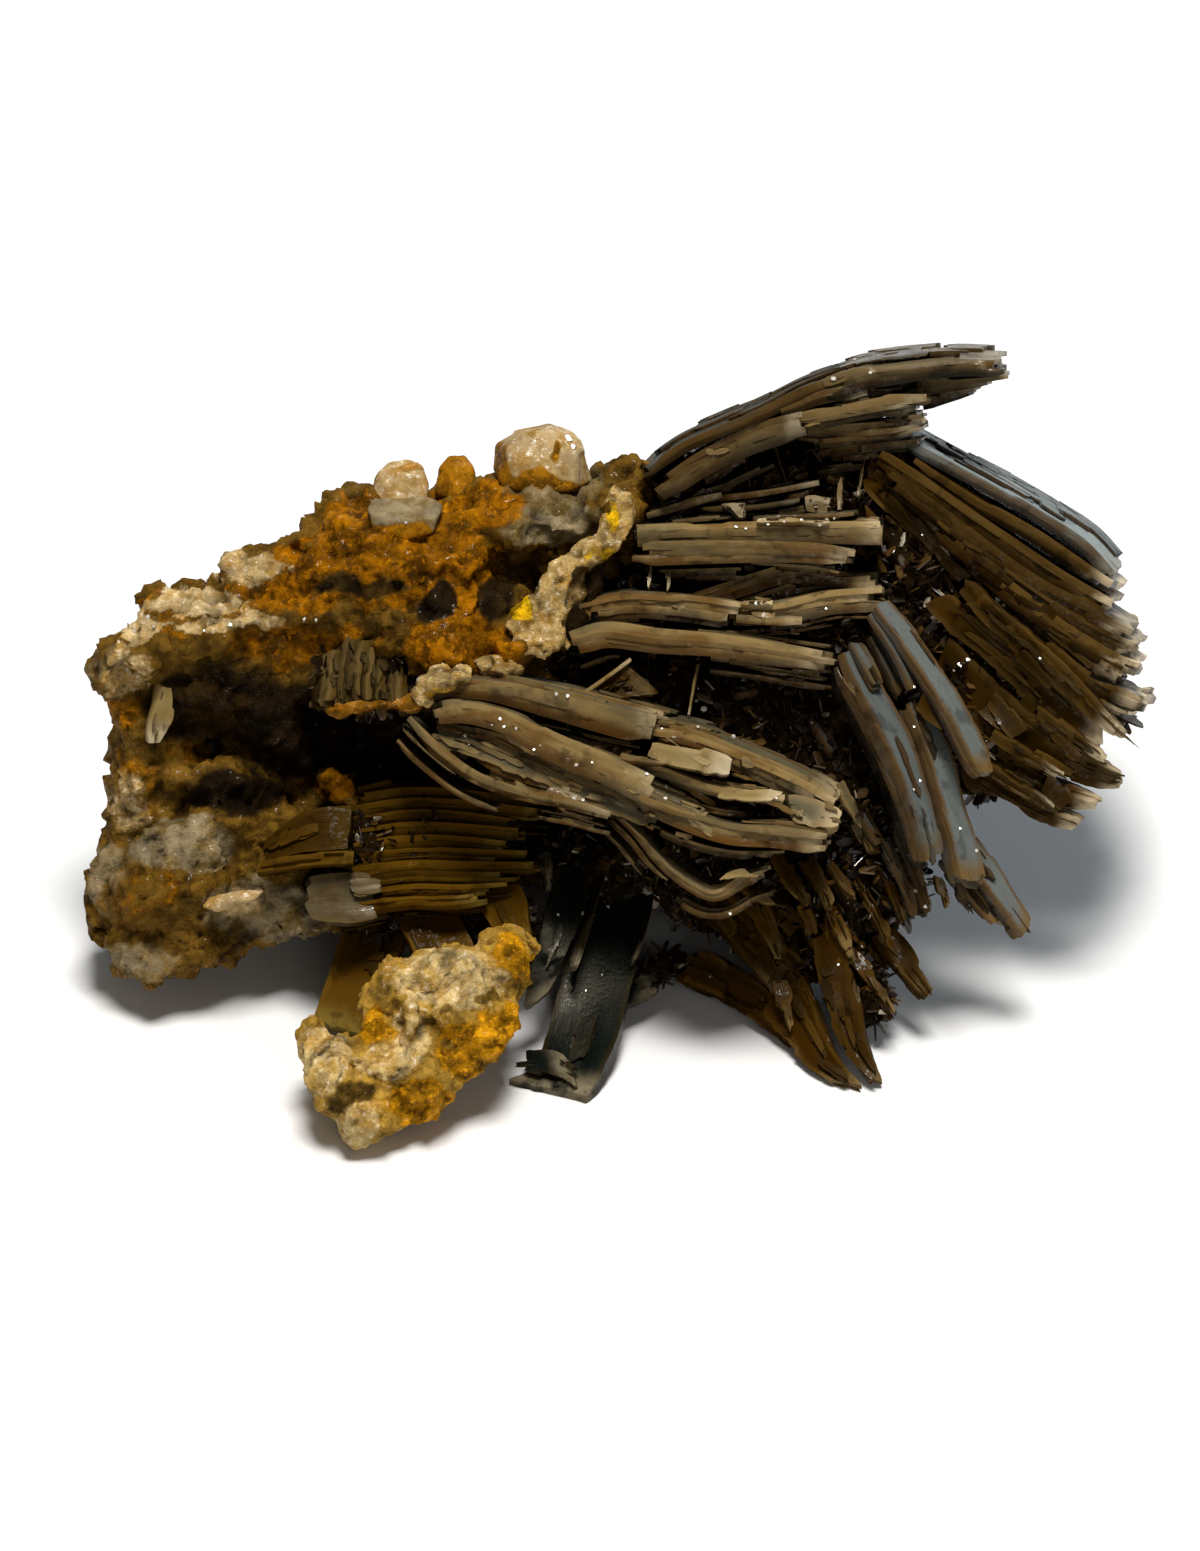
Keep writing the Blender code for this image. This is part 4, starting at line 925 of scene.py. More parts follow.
# %% Right fan
RIGHT_FAN = [
    ([(86.6, 45.2, 2.6), (92, 49.8, 3.8), (97.5, 55.2, 4.2)],
     [(85.6, 48.8, 1.6), (90.4, 53.6, 2.4), (95.6, 58.8, 2.8)], (1.6, 1.6),
     dict(fray=0.5, ragged=1.6, splinters=7)),
    ([(86.4, 50, 1.6), (91, 55.2, 2.4), (95.6, 60.4, 2.8)],
     [(86.4, 54.2, 0.6), (90.2, 59.2, 1.4), (93.4, 63.6, 1.8)], (1.6, 1.6),
     dict(fray=0.5, ragged=1.6, splinters=7)),
    ([(91.6, 45.4, 3.4), (98, 49.6, 4.2), (104, 53.0, 4.2), (108.4, 56.0, 4), (111.8, 58.4, 3.4)],
     (1.0, -1.0, -22), (1.5, 1.6), dict(fray=0.2, splinters=2, layers=2)),
    ([(88.6, 45.0, 4.4), (94, 48.6, 5), (100, 52.8, 5.2), (106, 56.8, 5), (111.4, 60.0, 4.2)],
     (1, -1.0, -20), (1.9, 2.0), dict(fray=0.2, splinters=2, layers=2)),
    ([(88.9, 46.8, 5), (94.4, 50.4, 5.6), (98.6, 53.9, 6), (104, 57.7, 6), (110, 60.8, 5),
      (113.2, 62.6, 4.4)], (1, -1.2, -20), (2.3, 2.2), dict(fray=0.2, splinters=2, layers=3)),
    ([(94, 51.8, 5.6), (100, 56.2, 6), (106, 60.4, 5.8), (111, 62.9, 5), (114.0, 64.2, 4)],
     (1, -1.2, -20), (2.2, 2.0), dict(fray=0.25, splinters=2, layers=3)),
    ([(97, 54.4, 5.2), (103, 59.4, 5.8), (109, 63.4, 5.4), (114.2, 66.4, 4)], (1, -1.2, -18), (2.2, 2.0),
     dict(fray=0.25, splinters=2, layers=3)),
    ([(99, 57.0, 4.6), (104, 61.4, 5.2), (109, 65.2, 5), (112.6, 67.4, 4.6)], (1, -1.2, -18), (2.0, 2.0),
     dict(splinters=3)),
    ([(100.4, 59.4, 4.2), (105, 64.0, 5), (110, 67.8, 4.8), (115.0, 70.0, 4.2)], (1, -1.2, -16),
     (1.5, 1.6)),
    ([(101, 61.4, 3.6), (106, 66.4, 4.4), (110.6, 69.8, 4.2), (113.6, 71.4, 4)], (1, -1.2, -14),
     (1.4, 1.2)),
    ([(98.4, 56.0, 4.4), (102, 59.6, 4.8), (107, 64.2, 4.8)],
     [(99.6, 60.6, 4.0), (103.4, 64.4, 4.2), (108, 69.0, 4.0)], (1.4, 1.4)),
    ([(96.6, 57.4, 8), (100.2, 61.0, 8.6), (104.2, 64.4, 8.6), (108, 68.0, 8), (110.4, 70.8, 7.4),
      (113.8, 74.2, 6)],
     [(95.0, 59.0, 6.9), (98.6, 62.9, 7.2), (102.7, 66.4, 7.3), (106.5, 69.8, 6.9), (109.2, 72.3, 6.6),
      (113.3, 75.2, 5.7)], (1.3, 1.3), dict(fray=0.2, ragged=1.2, splinters=2, layers=2)),
    ([(95.6, 59.6, 6.3), (98.6, 62.5, 6.7), (102.7, 66.0, 6.8), (106.5, 69.4, 6.4), (111.4, 73.9, 5.9)],
     [(93.4, 62.0, 5.0), (96.6, 64.8, 5.2), (100.8, 68.4, 5.4), (104.6, 71.6, 5.2), (110.4, 75.6, 5.2)],
     (1.4, 1.4), dict(fray=0.2, ragged=1.2, splinters=3, layers=2)),
    ([(95, 63.6, 5), (99, 67.6, 5.4), (104, 72, 5.6), (107.4, 74.4, 5.4), (111.6, 77.2, 5)],
     [(92.4, 67.2, 3), (96, 71.2, 3.4), (100.4, 75, 3.6), (104.4, 77.2, 3.6), (110.8, 78.6, 4)],
     (1.4, 1.2), dict(fray=0.2, ragged=0.7, splinters=2, layers=2)),
    ([(93.4, 68, 3.6), (98, 72.8, 4), (102.4, 76.4, 4), (109.8, 79.6, 4)],
     [(92.6, 71, 2), (96, 75.8, 2.4), (100.6, 79, 2.4), (108.2, 81.2, 3)], (1.4, 1.2),
     dict(fray=0.2, ragged=0.7, splinters=2, layers=2)),
    ([(94, 72.4, 3), (98.8, 76.8, 3.2), (103.6, 80, 3.2), (108.0, 82.0, 3.2)],
     [(95, 75.4, 1.6), (98.6, 79, 1.8), (102.6, 81.2, 1.8), (106.6, 82.8, 2.4)], (1.4, 1.2),
     dict(fray=0.2, ragged=0.6, splinters=2, layers=2)),
    ([(100, 70.8, 5.4), (105, 73.8, 5.8), (109.5, 75.8, 5.4), (112.5, 77.3, 5)],
     [(100, 74.4, 3), (105, 77.4, 3.4), (109, 78.9, 3.6), (112.2, 78.9, 4)], (1.4, 1.3), WORN),
    ([(97, 73, 4.8), (102, 76.6, 5.2), (106.5, 79.0, 5), (110.3, 80.2, 4.6)],
     [(97.2, 76.8, 2.6), (102, 79.4, 3), (106, 81.0, 3.2), (110.0, 81.0, 4)], (1.4, 1.3), WORN),
    ([(95.2, 74.4, 4.4), (100, 78.0, 4.8), (104, 80.4, 4.6), (108.7, 82.2, 4.2)],
     [(96.0, 78.8, 2.4), (100.2, 80.4, 2.6), (104, 82.3, 2.8), (107.0, 83.1, 3.6)], (1.4, 1.3), WORN),
    ([(104, 70.4, 7.4), (108, 73.4, 6.8), (111, 76.0, 6)],
     [(103.4, 72, 6.4), (107, 74.8, 6), (110.4, 76.6, 5.4)], (1, 1)),
    ([(99.4, 72.6, 6.4), (103, 75.0, 6.6), (106.6, 77.4, 6)],
     [(99, 74.4, 5.6), (102.4, 76.8, 5.8), (106, 78.6, 5.4)], (1, 1)),
    ([(98, 75.4, 5.8), (102, 78, 6), (106, 80.6, 5.2)],
     [(97.6, 77, 5), (101.4, 79.6, 5.2), (105.2, 81.6, 4.6)], (1, 1)),
    ([(93, 67, 4.6), (96, 72, 5.2), (99.6, 76, 5)], [(92.8, 70, 3), (95.4, 75, 3.6), (99, 78.6, 3.6)],
     (1.4, 1.4)),
]
grow("right_fan_blades", RIGHT_FAN, brown, "brown_barite")

# %% Lower fan
LOWER_FAN = [
    ([(80.8, 94, 3), (82.2, 100, 5), (84.2, 105, 7), (87.2, 108.4, 9.0)],
     [(84.0, 92, 3.5), (86.2, 99, 5.6), (86.6, 103.5, 7.4), (88.5, 108.0, 8.6)], (1.8, 1.4), EVEN),
    ([(76.0, 101.8, 1.8), (78.2, 104.3, 4.0), (81.0, 107.1, 6.8), (84.0, 108.5, 8.8)],
     [(78.5, 95, 2.2), (81.5, 100.5, 4.4), (83.6, 105, 6.8), (86.4, 108.5, 8.8)], (2.0, 1.6), EVEN),
    ([(67.2, 98.4, -4), (70.6, 99.6, -2.2), (74.6, 102.0, 0.4), (78.2, 104.6, 3.2)],
     [(69, 93.5, -4), (73, 96, -2), (77, 98.5, 1), (80, 101.5, 3.4)], (2.0, 2.0)),
    ([(69.5, 90.5, -1), (73, 95.5, 1.4), (77.5, 100, 3.4)],
     [(74.0, 88, 0), (77.8, 93, 2.4), (79.4, 97, 3.8)], (2.0, 2.0)),
    ([(76.8, 98, 3.6), (77.6, 100.6, 4.6), (78.8, 103.2, 5)],
     [(79.0, 97.6, 3.4), (79.6, 100.4, 4.4), (79.6, 103, 4.8)], (1.2, 1.2), EVEN),
    ([(67.8, 91.2, -1.6), (71.6, 93.2, -0.4), (73.6, 94.4, 0.6)],
     [(69.4, 90, -1.8), (73.0, 91.4, -0.6), (74.0, 93, 0.4)], (1.4, 1.4)),
    ([(72, 89.6, 0.6), (75, 92.6, 2), (77.6, 96.4, 3.4)],
     [(74, 88.4, 0.6), (77, 91.4, 2), (78.4, 95.6, 3.2)], (1.2, 1.2)),
    ([(86.4, 92.8, 3), (89, 96.5, 4.4), (92.4, 99.9, 5)],
     [(89.6, 92.4, 2.4), (91.6, 95, 3.6), (93.6, 99.2, 4.4)], (1.8, 1.6), WORN),
    ([(84.0, 95.4, 4), (86.6, 98.4, 5.4), (89.0, 101.8, 6.4)],
     [(86.2, 95, 3.6), (88.4, 97.8, 5), (89.8, 101.2, 6)], (1.4, 1.4)),
    ([(76.6, 85.4, 3), (78.4, 88.4, 4.6), (80.6, 90.6, 5.4)],
     [(78.4, 85.2, 2.6), (80.4, 87.8, 4), (81.6, 90.4, 5)], (1.2, 1.2), EVEN),
    ([(79.4, 85.6, 4), (81.2, 88.2, 5), (82.4, 90.9, 5.6)],
     [(81.4, 85.4, 3.4), (83.0, 87.8, 4.4), (83.8, 90.6, 5.2)], (1.2, 1.2), EVEN),
    ([(81.8, 86.2, 4.6), (83.2, 88, 5.4), (84.6, 89.9, 5.8)],
     [(83.4, 85.8, 4), (84.8, 87.6, 4.8), (86.2, 89.8, 5.4)], (1.2, 1.2), EVEN),
    ([(82.0, 90.0, 3.6), (83.4, 93.0, 5), (85.0, 96.4, 5.6)],
     [(83.4, 89.6, 3), (85.2, 92.6, 4.2), (86.2, 95.8, 5)], (1.2, 1.2)),
    ([(85.0, 88.0, 5), (87.0, 91.6, 6), (89.0, 95.4, 6)],
     [(86.4, 87.6, 4.4), (88.4, 91, 5.4), (89.8, 94.8, 5.6)], (1.2, 1.2)),
    ([(87.2, 86.4, 5.4), (89.2, 90.0, 6.4), (90.4, 93.4, 6.6)],
     [(88.6, 86.0, 5), (90.4, 89.4, 5.8), (91.4, 92.4, 6.2)], (1.2, 1.2)),
    ([(73.4, 88.8, 3), (75.6, 90.2, 4), (77.2, 90.8, 4.2)],
     [(74.6, 88.2, 2.6), (76.6, 89.0, 3.4), (77.8, 90.0, 4)], (1.0, 1.0), NEAT),
]
grow("lower_fan_blades", LOWER_FAN, amber, "amber_barite")

# %% [markdown]
# ## Dark and striated books
# Two broad, nearly black blades stand under the front book. To their left is a book of thin olive sheets,
# so even that most of it can follow a rule: ten sheets, each a little lower than the last, that end at
# different lengths.

# %% Dark blades
DARK = [
    ([(58.0, 89, -2), (56.4, 96, 2), (54.6, 103, 5.4), (53.0, 106.6, 7.0), (50.6, 107.6, 7.8)],
     [(65.2, 88, -3), (64.4, 93, 0), (63.0, 99, 3.6), (61.0, 105.6, 8.4), (58.3, 110.0, 11.0)],
     (1.9, 1.6), dict(fray=0.12, ragged=0.5, splinters=1, layers=1)),
    ([(55.6, 86, 2), (54.6, 91, 4), (53.0, 97, 6), (52.2, 100.6, 7)],
     [(59.4, 86.6, 1), (58.4, 91, 3), (56.0, 97, 6), (54.0, 100.4, 7)], (1.5, 1.5),
     dict(fray=0.12, splinters=1, layers=1)),
    ([(60.4, 87, 2.6), (58.8, 92, 4.6), (57.2, 97, 6.2)],
     [(61.0, 87, 2.2), (59.4, 92, 4.2), (57.8, 97, 5.8)], (1.6, 1.6), dict(fray=0.1, splinters=2)),
    ([(65.0, 88.6, -2), (64.4, 92, 0), (63.0, 96.6, 3)],
     [(65.7, 88.4, -2.4), (65.0, 92, -0.4), (63.8, 96, 2.4)], (1.2, 1.2), dict(fray=0.1, splinters=2)),
    ([(53.6, 85.6, 4), (54.4, 88.9, 5)], [(55.6, 85.4, 3.6), (55.6, 88.6, 4.6)], (1.4, 1.4), NEAT),
    ([(61.6, 97.8, 0.6), (67.2, 96.9, -1.4)], [(61.4, 101.4, 3.4), (66.2, 98.9, 0.4)], (1.4, 1.4)),
    ([(52.2, 104.8, 6.6), (54.4, 104.6, 7.4), (57.6, 105.4, 9)],
     [(51.0, 107.4, 8), (54.6, 107.6, 9), (58.0, 109.6, 11)], (1.0, 1.0)),
]
grow("dark_blades", DARK, dark, "dark_barite")

# %% Striated blades
FIBRES = dict(splinters=3, fray=0.1, ragged=0.5, layers=1, wear=0.1)
SHEETS = dict(splinters=4, ragged=1.2, fray=0.12, layers=3, wear=0.6)
SHEET_ENDS = (53.8, 54.6, 52.0, 53.4, 50.6, 52.8, 53.6, 51.6, 50.4, 48.4)
STRIATED = [
    ([(34.7, 79.5 + 1.22 * k, 1.4 + 0.45 * k), (41, 78.5 + 1.22 * k, 2.2 + 0.45 * k),
      (46, 78.7 + 1.2 * k, 2.8 + 0.42 * k), (end, 79.9 + 1.02 * k, 2.8 + 0.36 * k)],
     (0, -0.5, -7), (1.5, 1.4), SHEETS)
    for k, end in enumerate(SHEET_ENDS)
]
STRIATED += [
    ([(26.0, 84.3, 4), (30.4, 81.0, 4), (34.9, 80.3, 4)],
     [(26.4, 86.3, 5.4), (30.4, 85.2, 6), (35.0, 84.9, 6.2)], (3.4, 3.4), dict(FIBRES, main=0.3)),
    ([(26.2, 86.0, 6.0), (30.4, 85.2, 6.4), (35.4, 84.9, 6.4)],
     [(25.4, 87.3, 6.4), (30.4, 86.6, 6.8), (35.2, 86.4, 6.8)], (1.4, 1.4), dict(FIBRES, main=0.3)),
    ([(34.8, 91, -1), (32.8, 97.2, 1.4), (31.2, 101.8, 3.4)],
     [(41.4, 91, 0), (38.8, 98, 2.4), (36.2, 103.6, 4.9)], (2.0, 1.8), FIBRES),
    ([(38.6, 90, 2.6), (41.6, 96, 5.2), (43.0, 102, 8.6)],
     [(44.6, 89, 2.2), (47.6, 95, 4.8), (48.6, 101, 8.2)], (2.4, 2.4), FIBRES),
    ([(44.0, 88.4, 2.6), (48, 91, 4.2), (50.6, 96, 6)],
     [(47.4, 87.8, 2.2), (52, 88.4, 3.8), (53, 93, 5.6)], (2.0, 2.0), FIBRES),
]
grow("striated_blades", STRIATED, olive, "olive_barite")

# %% [markdown]
# ## Small crystals
# A bundle of upright rods, one pale blade and one amber flake sit by themselves. They are single short
# blades, grown in the same way.

# %% Small crystals
RODS = dict(plain=9, splinters=6)
BUNDLE = [
    ([(32.8, 64.4, 5.4), (32.6, 67.4, 6.4), (32.2, 70.4, 7.4)], (1.6, 0.0, -1.0), (3.0, 3.0), RODS),
    ([(34.4, 63.6, 6.0), (34.0, 67.0, 7.0), (33.6, 70.4, 7.8)], (1.5, 0.2, -1.0), (3.0, 3.0), RODS),
    ([(36.0, 63.4, 6.6), (35.7, 67.0, 7.8), (35.6, 70.6, 8.4)], (1.8, 0.0, -1.2), (3.2, 3.2), RODS),
    ([(37.8, 64.2, 6.4), (37.4, 67.4, 7.6), (37.4, 70.4, 8.4)], (1.7, 0.2, -1.0), (3.2, 3.2), RODS),
    ([(39.2, 64.8, 6.2), (39.1, 67.4, 7.2), (39.2, 70.2, 8.2)], (1.7, 0.4, -1.2), (3.0, 3.0), RODS),
    ([(36.8, 65.0, 8.0), (36.6, 69.8, 9.0)], (0.9, 0.1, -0.6), (1.4, 1.4), RODS),
    ([(34.9, 65.4, 7.0), (34.4, 69.6, 8.2)], (0.8, 0.1, -0.6), (1.4, 1.4), RODS),
]
PALE = [
    ([(16.4, 68.6, 3.4), (14.9, 71.6, 4.2), (14.7, 74.8, 4.2)],
     [(17.3, 68.0, 2.6), (17.4, 71.8, 3.4), (16.2, 74.2, 3.6)], (1.8, 1.6), dict(ragged=0.2, fray=0.15)),
]
AMBER = [
    ([(58.6, 69.1, 9.6), (60.6, 67.5, 9.7), (62.8, 66.0, 9.8)],
     [(60.8, 70.2, 10.6), (63.6, 69.6, 10.6), (66.1, 69.4, 10.6)], (1.2, 1.2),
     dict(ragged=0.2, fray=0.1)),
]
grow("small_bundle", BUNDLE, rods, "grey_tan_barite")
grow("pale_blade", PALE, pale, "pale_barite")
grow("amber_crystal", AMBER, amber, "amber_barite")

# %% [markdown]
# ## Broad sheets
# Seen from above and from behind, the books end in broad sheets with low terraces. The back book, the
# sheet on the crown and the one on the fan are few but large, so the terraces do most of the work. The
# pale lobes and the grey plate are single flakes that lie on other books.

# %% Back blades
BACK = [
    ([(44, 62, -17), (56, 55, -20), (66, 52, -20)], (4, 3.0, -18), (1.8, 1.6), BROAD),
    ([(43, 67, -19), (56, 60, -23), (68, 56.5, -24)], (4, 4.0, -17), (2.0, 1.8), BROAD),
    ([(44, 72, -22), (56, 65.5, -26), (70, 61.6, -27)], (3, 4.0, -15), (2.2, 2.0), BROAD),
]
grow("back_blades", BACK, brown, "brown_barite")

# %% Top sheets and flakes
TOPS = [
    ([(64.2, 47.0, 5), (68, 44.3, 5.5), (72, 42.5, 6), (76, 40.8, 6), (80, 38.8, 6.4), (84.5, 37.2, 6.8)],
     (0.4, -1.3, -22), (1.1, 1.4), dict(fray=0.1, splinters=1, layers=2, terraces=8)),
]
LOBES = [
    ([(64.6, 73.4, 15.9), (69, 74.2, 16.5), (73.2, 75.4, 16.5)],
     [(64.9, 76.2, 16.8), (69, 77.2, 17.4), (73.0, 77.6, 17.4)], (0.9, 0.9), FLAKE),
    ([(71.5, 78.6, 17.6), (75, 78.6, 17.8), (78.4, 78.4, 17.6)],
     [(71.8, 79.9, 18), (75, 80.2, 18.2), (78.2, 80.0, 18)], (0.8, 0.8), FLAKE),
    ([(58.2, 69.3, 10.9), (60.6, 67.6, 10.8), (62.9, 65.9, 10.7)], (0.1, -0.3, -1), (0.35, 0.35),
     dict(ragged=0.1, splinters=0)),
    ([(69.8, 66.3, 8.6), (69.3, 69.0, 9.2), (68.9, 71.4, 9.8)], (0.25, 0.0, -0.6), (0.35, 0.3),
     dict(ragged=0.1, splinters=0)),
    ([(72.0, 86.9, 14.9), (74, 86.6, 15.0), (76.0, 86.9, 14.8)],
     [(71.6, 88.6, 15.2), (74, 88.0, 15.3), (76.0, 88.1, 15.1)], (0.7, 0.7), FLAKE),
]
FAN_TOP = [
    ([(90.6, 43.4, 3), (94.4, 45.5, 3.5), (98.5, 47.7, 4), (104.4, 51.1, 4), (108.6, 53.9, 3.8),
      (111.6, 57.2, 3.2)], (1.1, -1.1, -24), (1.5, 1.3),
     dict(fray=0.08, ragged=0.5, splinters=1, terraces=10)),
]
GREY_PLATE = [
    ([(29.6, 87.6, 4.6), (34.6, 87.0, 5.2), (39.6, 87.2, 5)],
     [(31.6, 92.0, 5.4), (35.0, 92.4, 6), (38.6, 91.6, 5.8)], (3, 3),
     dict(fray=0.1, ragged=1.2, splinters=2, main=0.1, plain=9)),
]
grow("top_blades", TOPS, slate, "blue_grey_barite", node=False)
grow("pale_chips", LOBES, pale, "pale_barite", node=False)
grow("fan_top", FAN_TOP, sky_reflection_mist, "blue_grey_barite", node=False)
grow("grey_plate", GREY_PLATE, smoky, "olive_barite", node=False)

# %% [markdown]
# ## Rock from lumps
# Rock could be one displaced ball, but then it has no overhangs and no sharp change from lump to lump.
# Here lumps are balls cut back by a few planes, slabs are plates of stone with a drawn outline, and hulls
# are crystals with flat faces between given corners. Later they are joined by remeshing.

# %% Lumps, slabs and hulls
CUTS = 9  # planes that cut a lump back
CUT_AT = 0.80  # how far from its middle, where 1 is its half size


def lump(work, centre, half, seed):
    """Adds one lump: half is its half size across, up and out in millimetres."""
    ball = bmesh.new()
    bmesh.ops.create_icosphere(ball, subdivisions=4, radius=1.0)
    at = np.array([v.co for v in ball.verts])
    faces = np.array([[v.index for v in f.verts] for f in ball.faces])
    ball.free()
    noise.seed_set(seed)
    sides = np.array([noise.random_unit_vector() for _ in range(CUTS)])
    shift = np.array((seed * 3.7, seed * 1.3, seed * 2.1))
    bumps = np.array([noise.noise(Vector(p)) for p in at * 1.3 + shift])
    reach = np.minimum(1, CUT_AT / np.maximum(at @ sides.T, 0.01).max(1))
    at *= ((1 + 0.16 * bumps) * reach)[:, None]
    at *= np.array((half[0], half[2], half[1])) / np.abs(at).max(0) * MM
    up = np.array((0, SIN, COS))
    at = place(centre) + at[:, :1] * (1, 0, 0) - at[:, 1:2] * OUTWARD + at[:, 2:] * up
    work.append((at, faces.tolist()))


def slab(work, outline, front, slope, deep):
    """Adds a plate of stone, front mm out at its top, slope more for each mm down, and deep mm thick."""
    xy = np.array(outline, float)
    out = front + slope * (xy[:, 1] - xy[:, 1].min())
    near = place(np.column_stack([xy, out]))
    far = place(np.column_stack([xy, out - deep]))
    n = len(xy)
    sides = [[i, (i + 1) % n, (i + 1) % n + n, i + n] for i in range(n)]
    work.append((np.concatenate([near, far]), [list(range(n))[::-1], list(range(n, 2 * n)), *sides]))


def hull(work, corners):
    """Adds a crystal with flat faces between its corners."""
    shell = bmesh.new()
    for point in place(corners):
        shell.verts.new(point)
    done = bmesh.ops.convex_hull(shell, input=shell.verts[:])
    inside = [e for e in done["geom_interior"] if isinstance(e, bmesh.types.BMVert)]
    bmesh.ops.delete(shell, geom=inside, context="VERTS")
    shell.verts.index_update()
    faces = [[v.index for v in f.verts] for f in shell.faces]
    work.append((np.array([v.co for v in shell.verts]), faces))
    shell.free()


parts = []
lump(parts, (*DATUM, 0), (5, 4, 3), 1)
hull(parts, [(0, 0, 0), (4, 0, 0), (2, 4, 0), (2, 2, 4), (2, 1, 1)])
print("a lump has", len(parts[0][0]), "points, a hull", len(parts[1][0]))

# %% [markdown]
# ## Remeshing and roughening
# Voxel remeshing melts the parts into one closed skin with even faces. `push` then moves that skin along
# its normals. It is done twice, coarse and fine: big chips first, and small crags, facets and pores on
# top, because a fine skin pushed once by both would fold over itself.

# %% Skins


def remesh(mesh, size):
    """A closed even skin over a mesh."""
    obj = bpy.data.objects.new("skin", mesh)
    bpy.context.scene.collection.objects.link(obj)
    step = obj.modifiers.new("skin", "REMESH")
    step.mode, step.voxel_size = "VOXEL", size * MM
    skin = bpy.data.meshes.new_from_object(obj.evaluated_get(bpy.context.evaluated_depsgraph_get()))
    bpy.data.objects.remove(obj)
    bpy.data.meshes.remove(mesh)
    return skin


def skin_points(mesh):
    """Points and outward directions of a mesh as arrays."""
    at, way = np.empty(len(mesh.vertices) * 3), np.empty(len(mesh.vertices) * 3)
    mesh.vertices.foreach_get("co", at)
    mesh.vertex_normals.foreach_get("vector", way)
    return at.reshape(-1, 3), way.reshape(-1, 3)


def push(mesh, height):
    """Moves the skin along its normals by a height in millimetres."""
    at, way = skin_points(mesh)
    mesh.vertices.foreach_set("co", boxed(at + way * (height * MM)[:, None]).ravel())
    mesh.update()


# %% Rough masses


def mass(name, lumps, coarse, fine, pores=0.4, seed=0, slabs=(), rugged=1.0, hulls=()):
    """A rough closed mass of stone from tables of lumps, slabs and hulls.

    coarse and fine are the voxel sizes in millimetres, pores and rugged how deep its pits and crags are.
    """
    parts = []
    for one in lumps:
        lump(parts, *one)
    for one in slabs:
        slab(parts, *one)
    for one in hulls:
        hull(parts, one)
    offsets = np.cumsum([0] + [len(p) for p, _ in parts[:-1]]).tolist()
    mesh = bpy.data.meshes.new(name)
    faces = [[v + o for v in f] for (_, part), o in zip(parts, offsets) for f in part]
    mesh.from_pydata(np.concatenate([p for p, _ in parts]).tolist(), [], faces)
    mesh = remesh(mesh, coarse)
    at = skin_points(mesh)[0] / MM
    push(mesh, rugged * (0.6 * rough(at * 0.17, seed, 3) + 1.5 * facets(at * 0.2, seed + 2)))
    mesh = remesh(mesh, fine)
    at = skin_points(mesh)[0] / MM
    crags = 1 - np.abs(rough(at * 0.45, seed + 9, 4)) * 1.6
    holes = np.clip(grain(at * 0.75, seed + 5) - 0.15, 0, 1)
    rise = 0.3 * (crags - 0.45) + 0.8 * facets(at * 0.42, seed + 6) + 0.25 * facets(at * 1.1, seed + 7)
    rise = rugged * (rise + 0.2 * rough(at * 1.3, seed + 3, 3)) - pores * holes
    push(mesh, rise)
    # How deep each point lies in a dip is kept for the material, which darkens the dips with it: painted
    # shade.
    layer = mesh.attributes.new("hollow", "FLOAT", "POINT")
    hollow = np.clip(0.5 - rise * 0.55 / max(rugged, 0.3), 0, 1)
    layer.data.foreach_set("value", hollow.astype(np.float32))
    return mesh


def stain(mesh, spots, base=(0.2, 0.1, 0.2, 0.2)):
    """Paints how much of each stone colour there is, from round patches at stations."""
    at = skin_points(mesh)[0]
    where = station(at)
    warp = np.stack([rough(at / MM * 0.35, 40 + k, 3) for k in range(3)], 1) * 0.9
    paint = np.tile(np.array(base), (len(at), 1))
    for (x, y), (rx, ry), channel, amount in spots:
        away = ((where[:, 0] + warp[:, 0] - x) / rx) ** 2 + ((where[:, 1] + warp[:, 1] - y) / ry) ** 2
        share = amount * (1 - smooth(away, 0.45, 1.35))
        paint *= 1 - np.abs(share)[:, None] * np.array([k != channel for k in range(4)])
        paint[:, channel] = np.maximum(paint[:, channel], share)
    layer = mesh.attributes.new("stain", "FLOAT_COLOR", "POINT")
    layer.data.foreach_set("color", paint.astype(np.float32).ravel())


# %% [markdown]
# ## Druse
# The hollows between the blades are lined with thousands of tiny tablets, far too many for a table. So a
# node group scatters one small crystal over a skin, leans it at random, and gives each a random `tint`.

# %% Node group for the druse


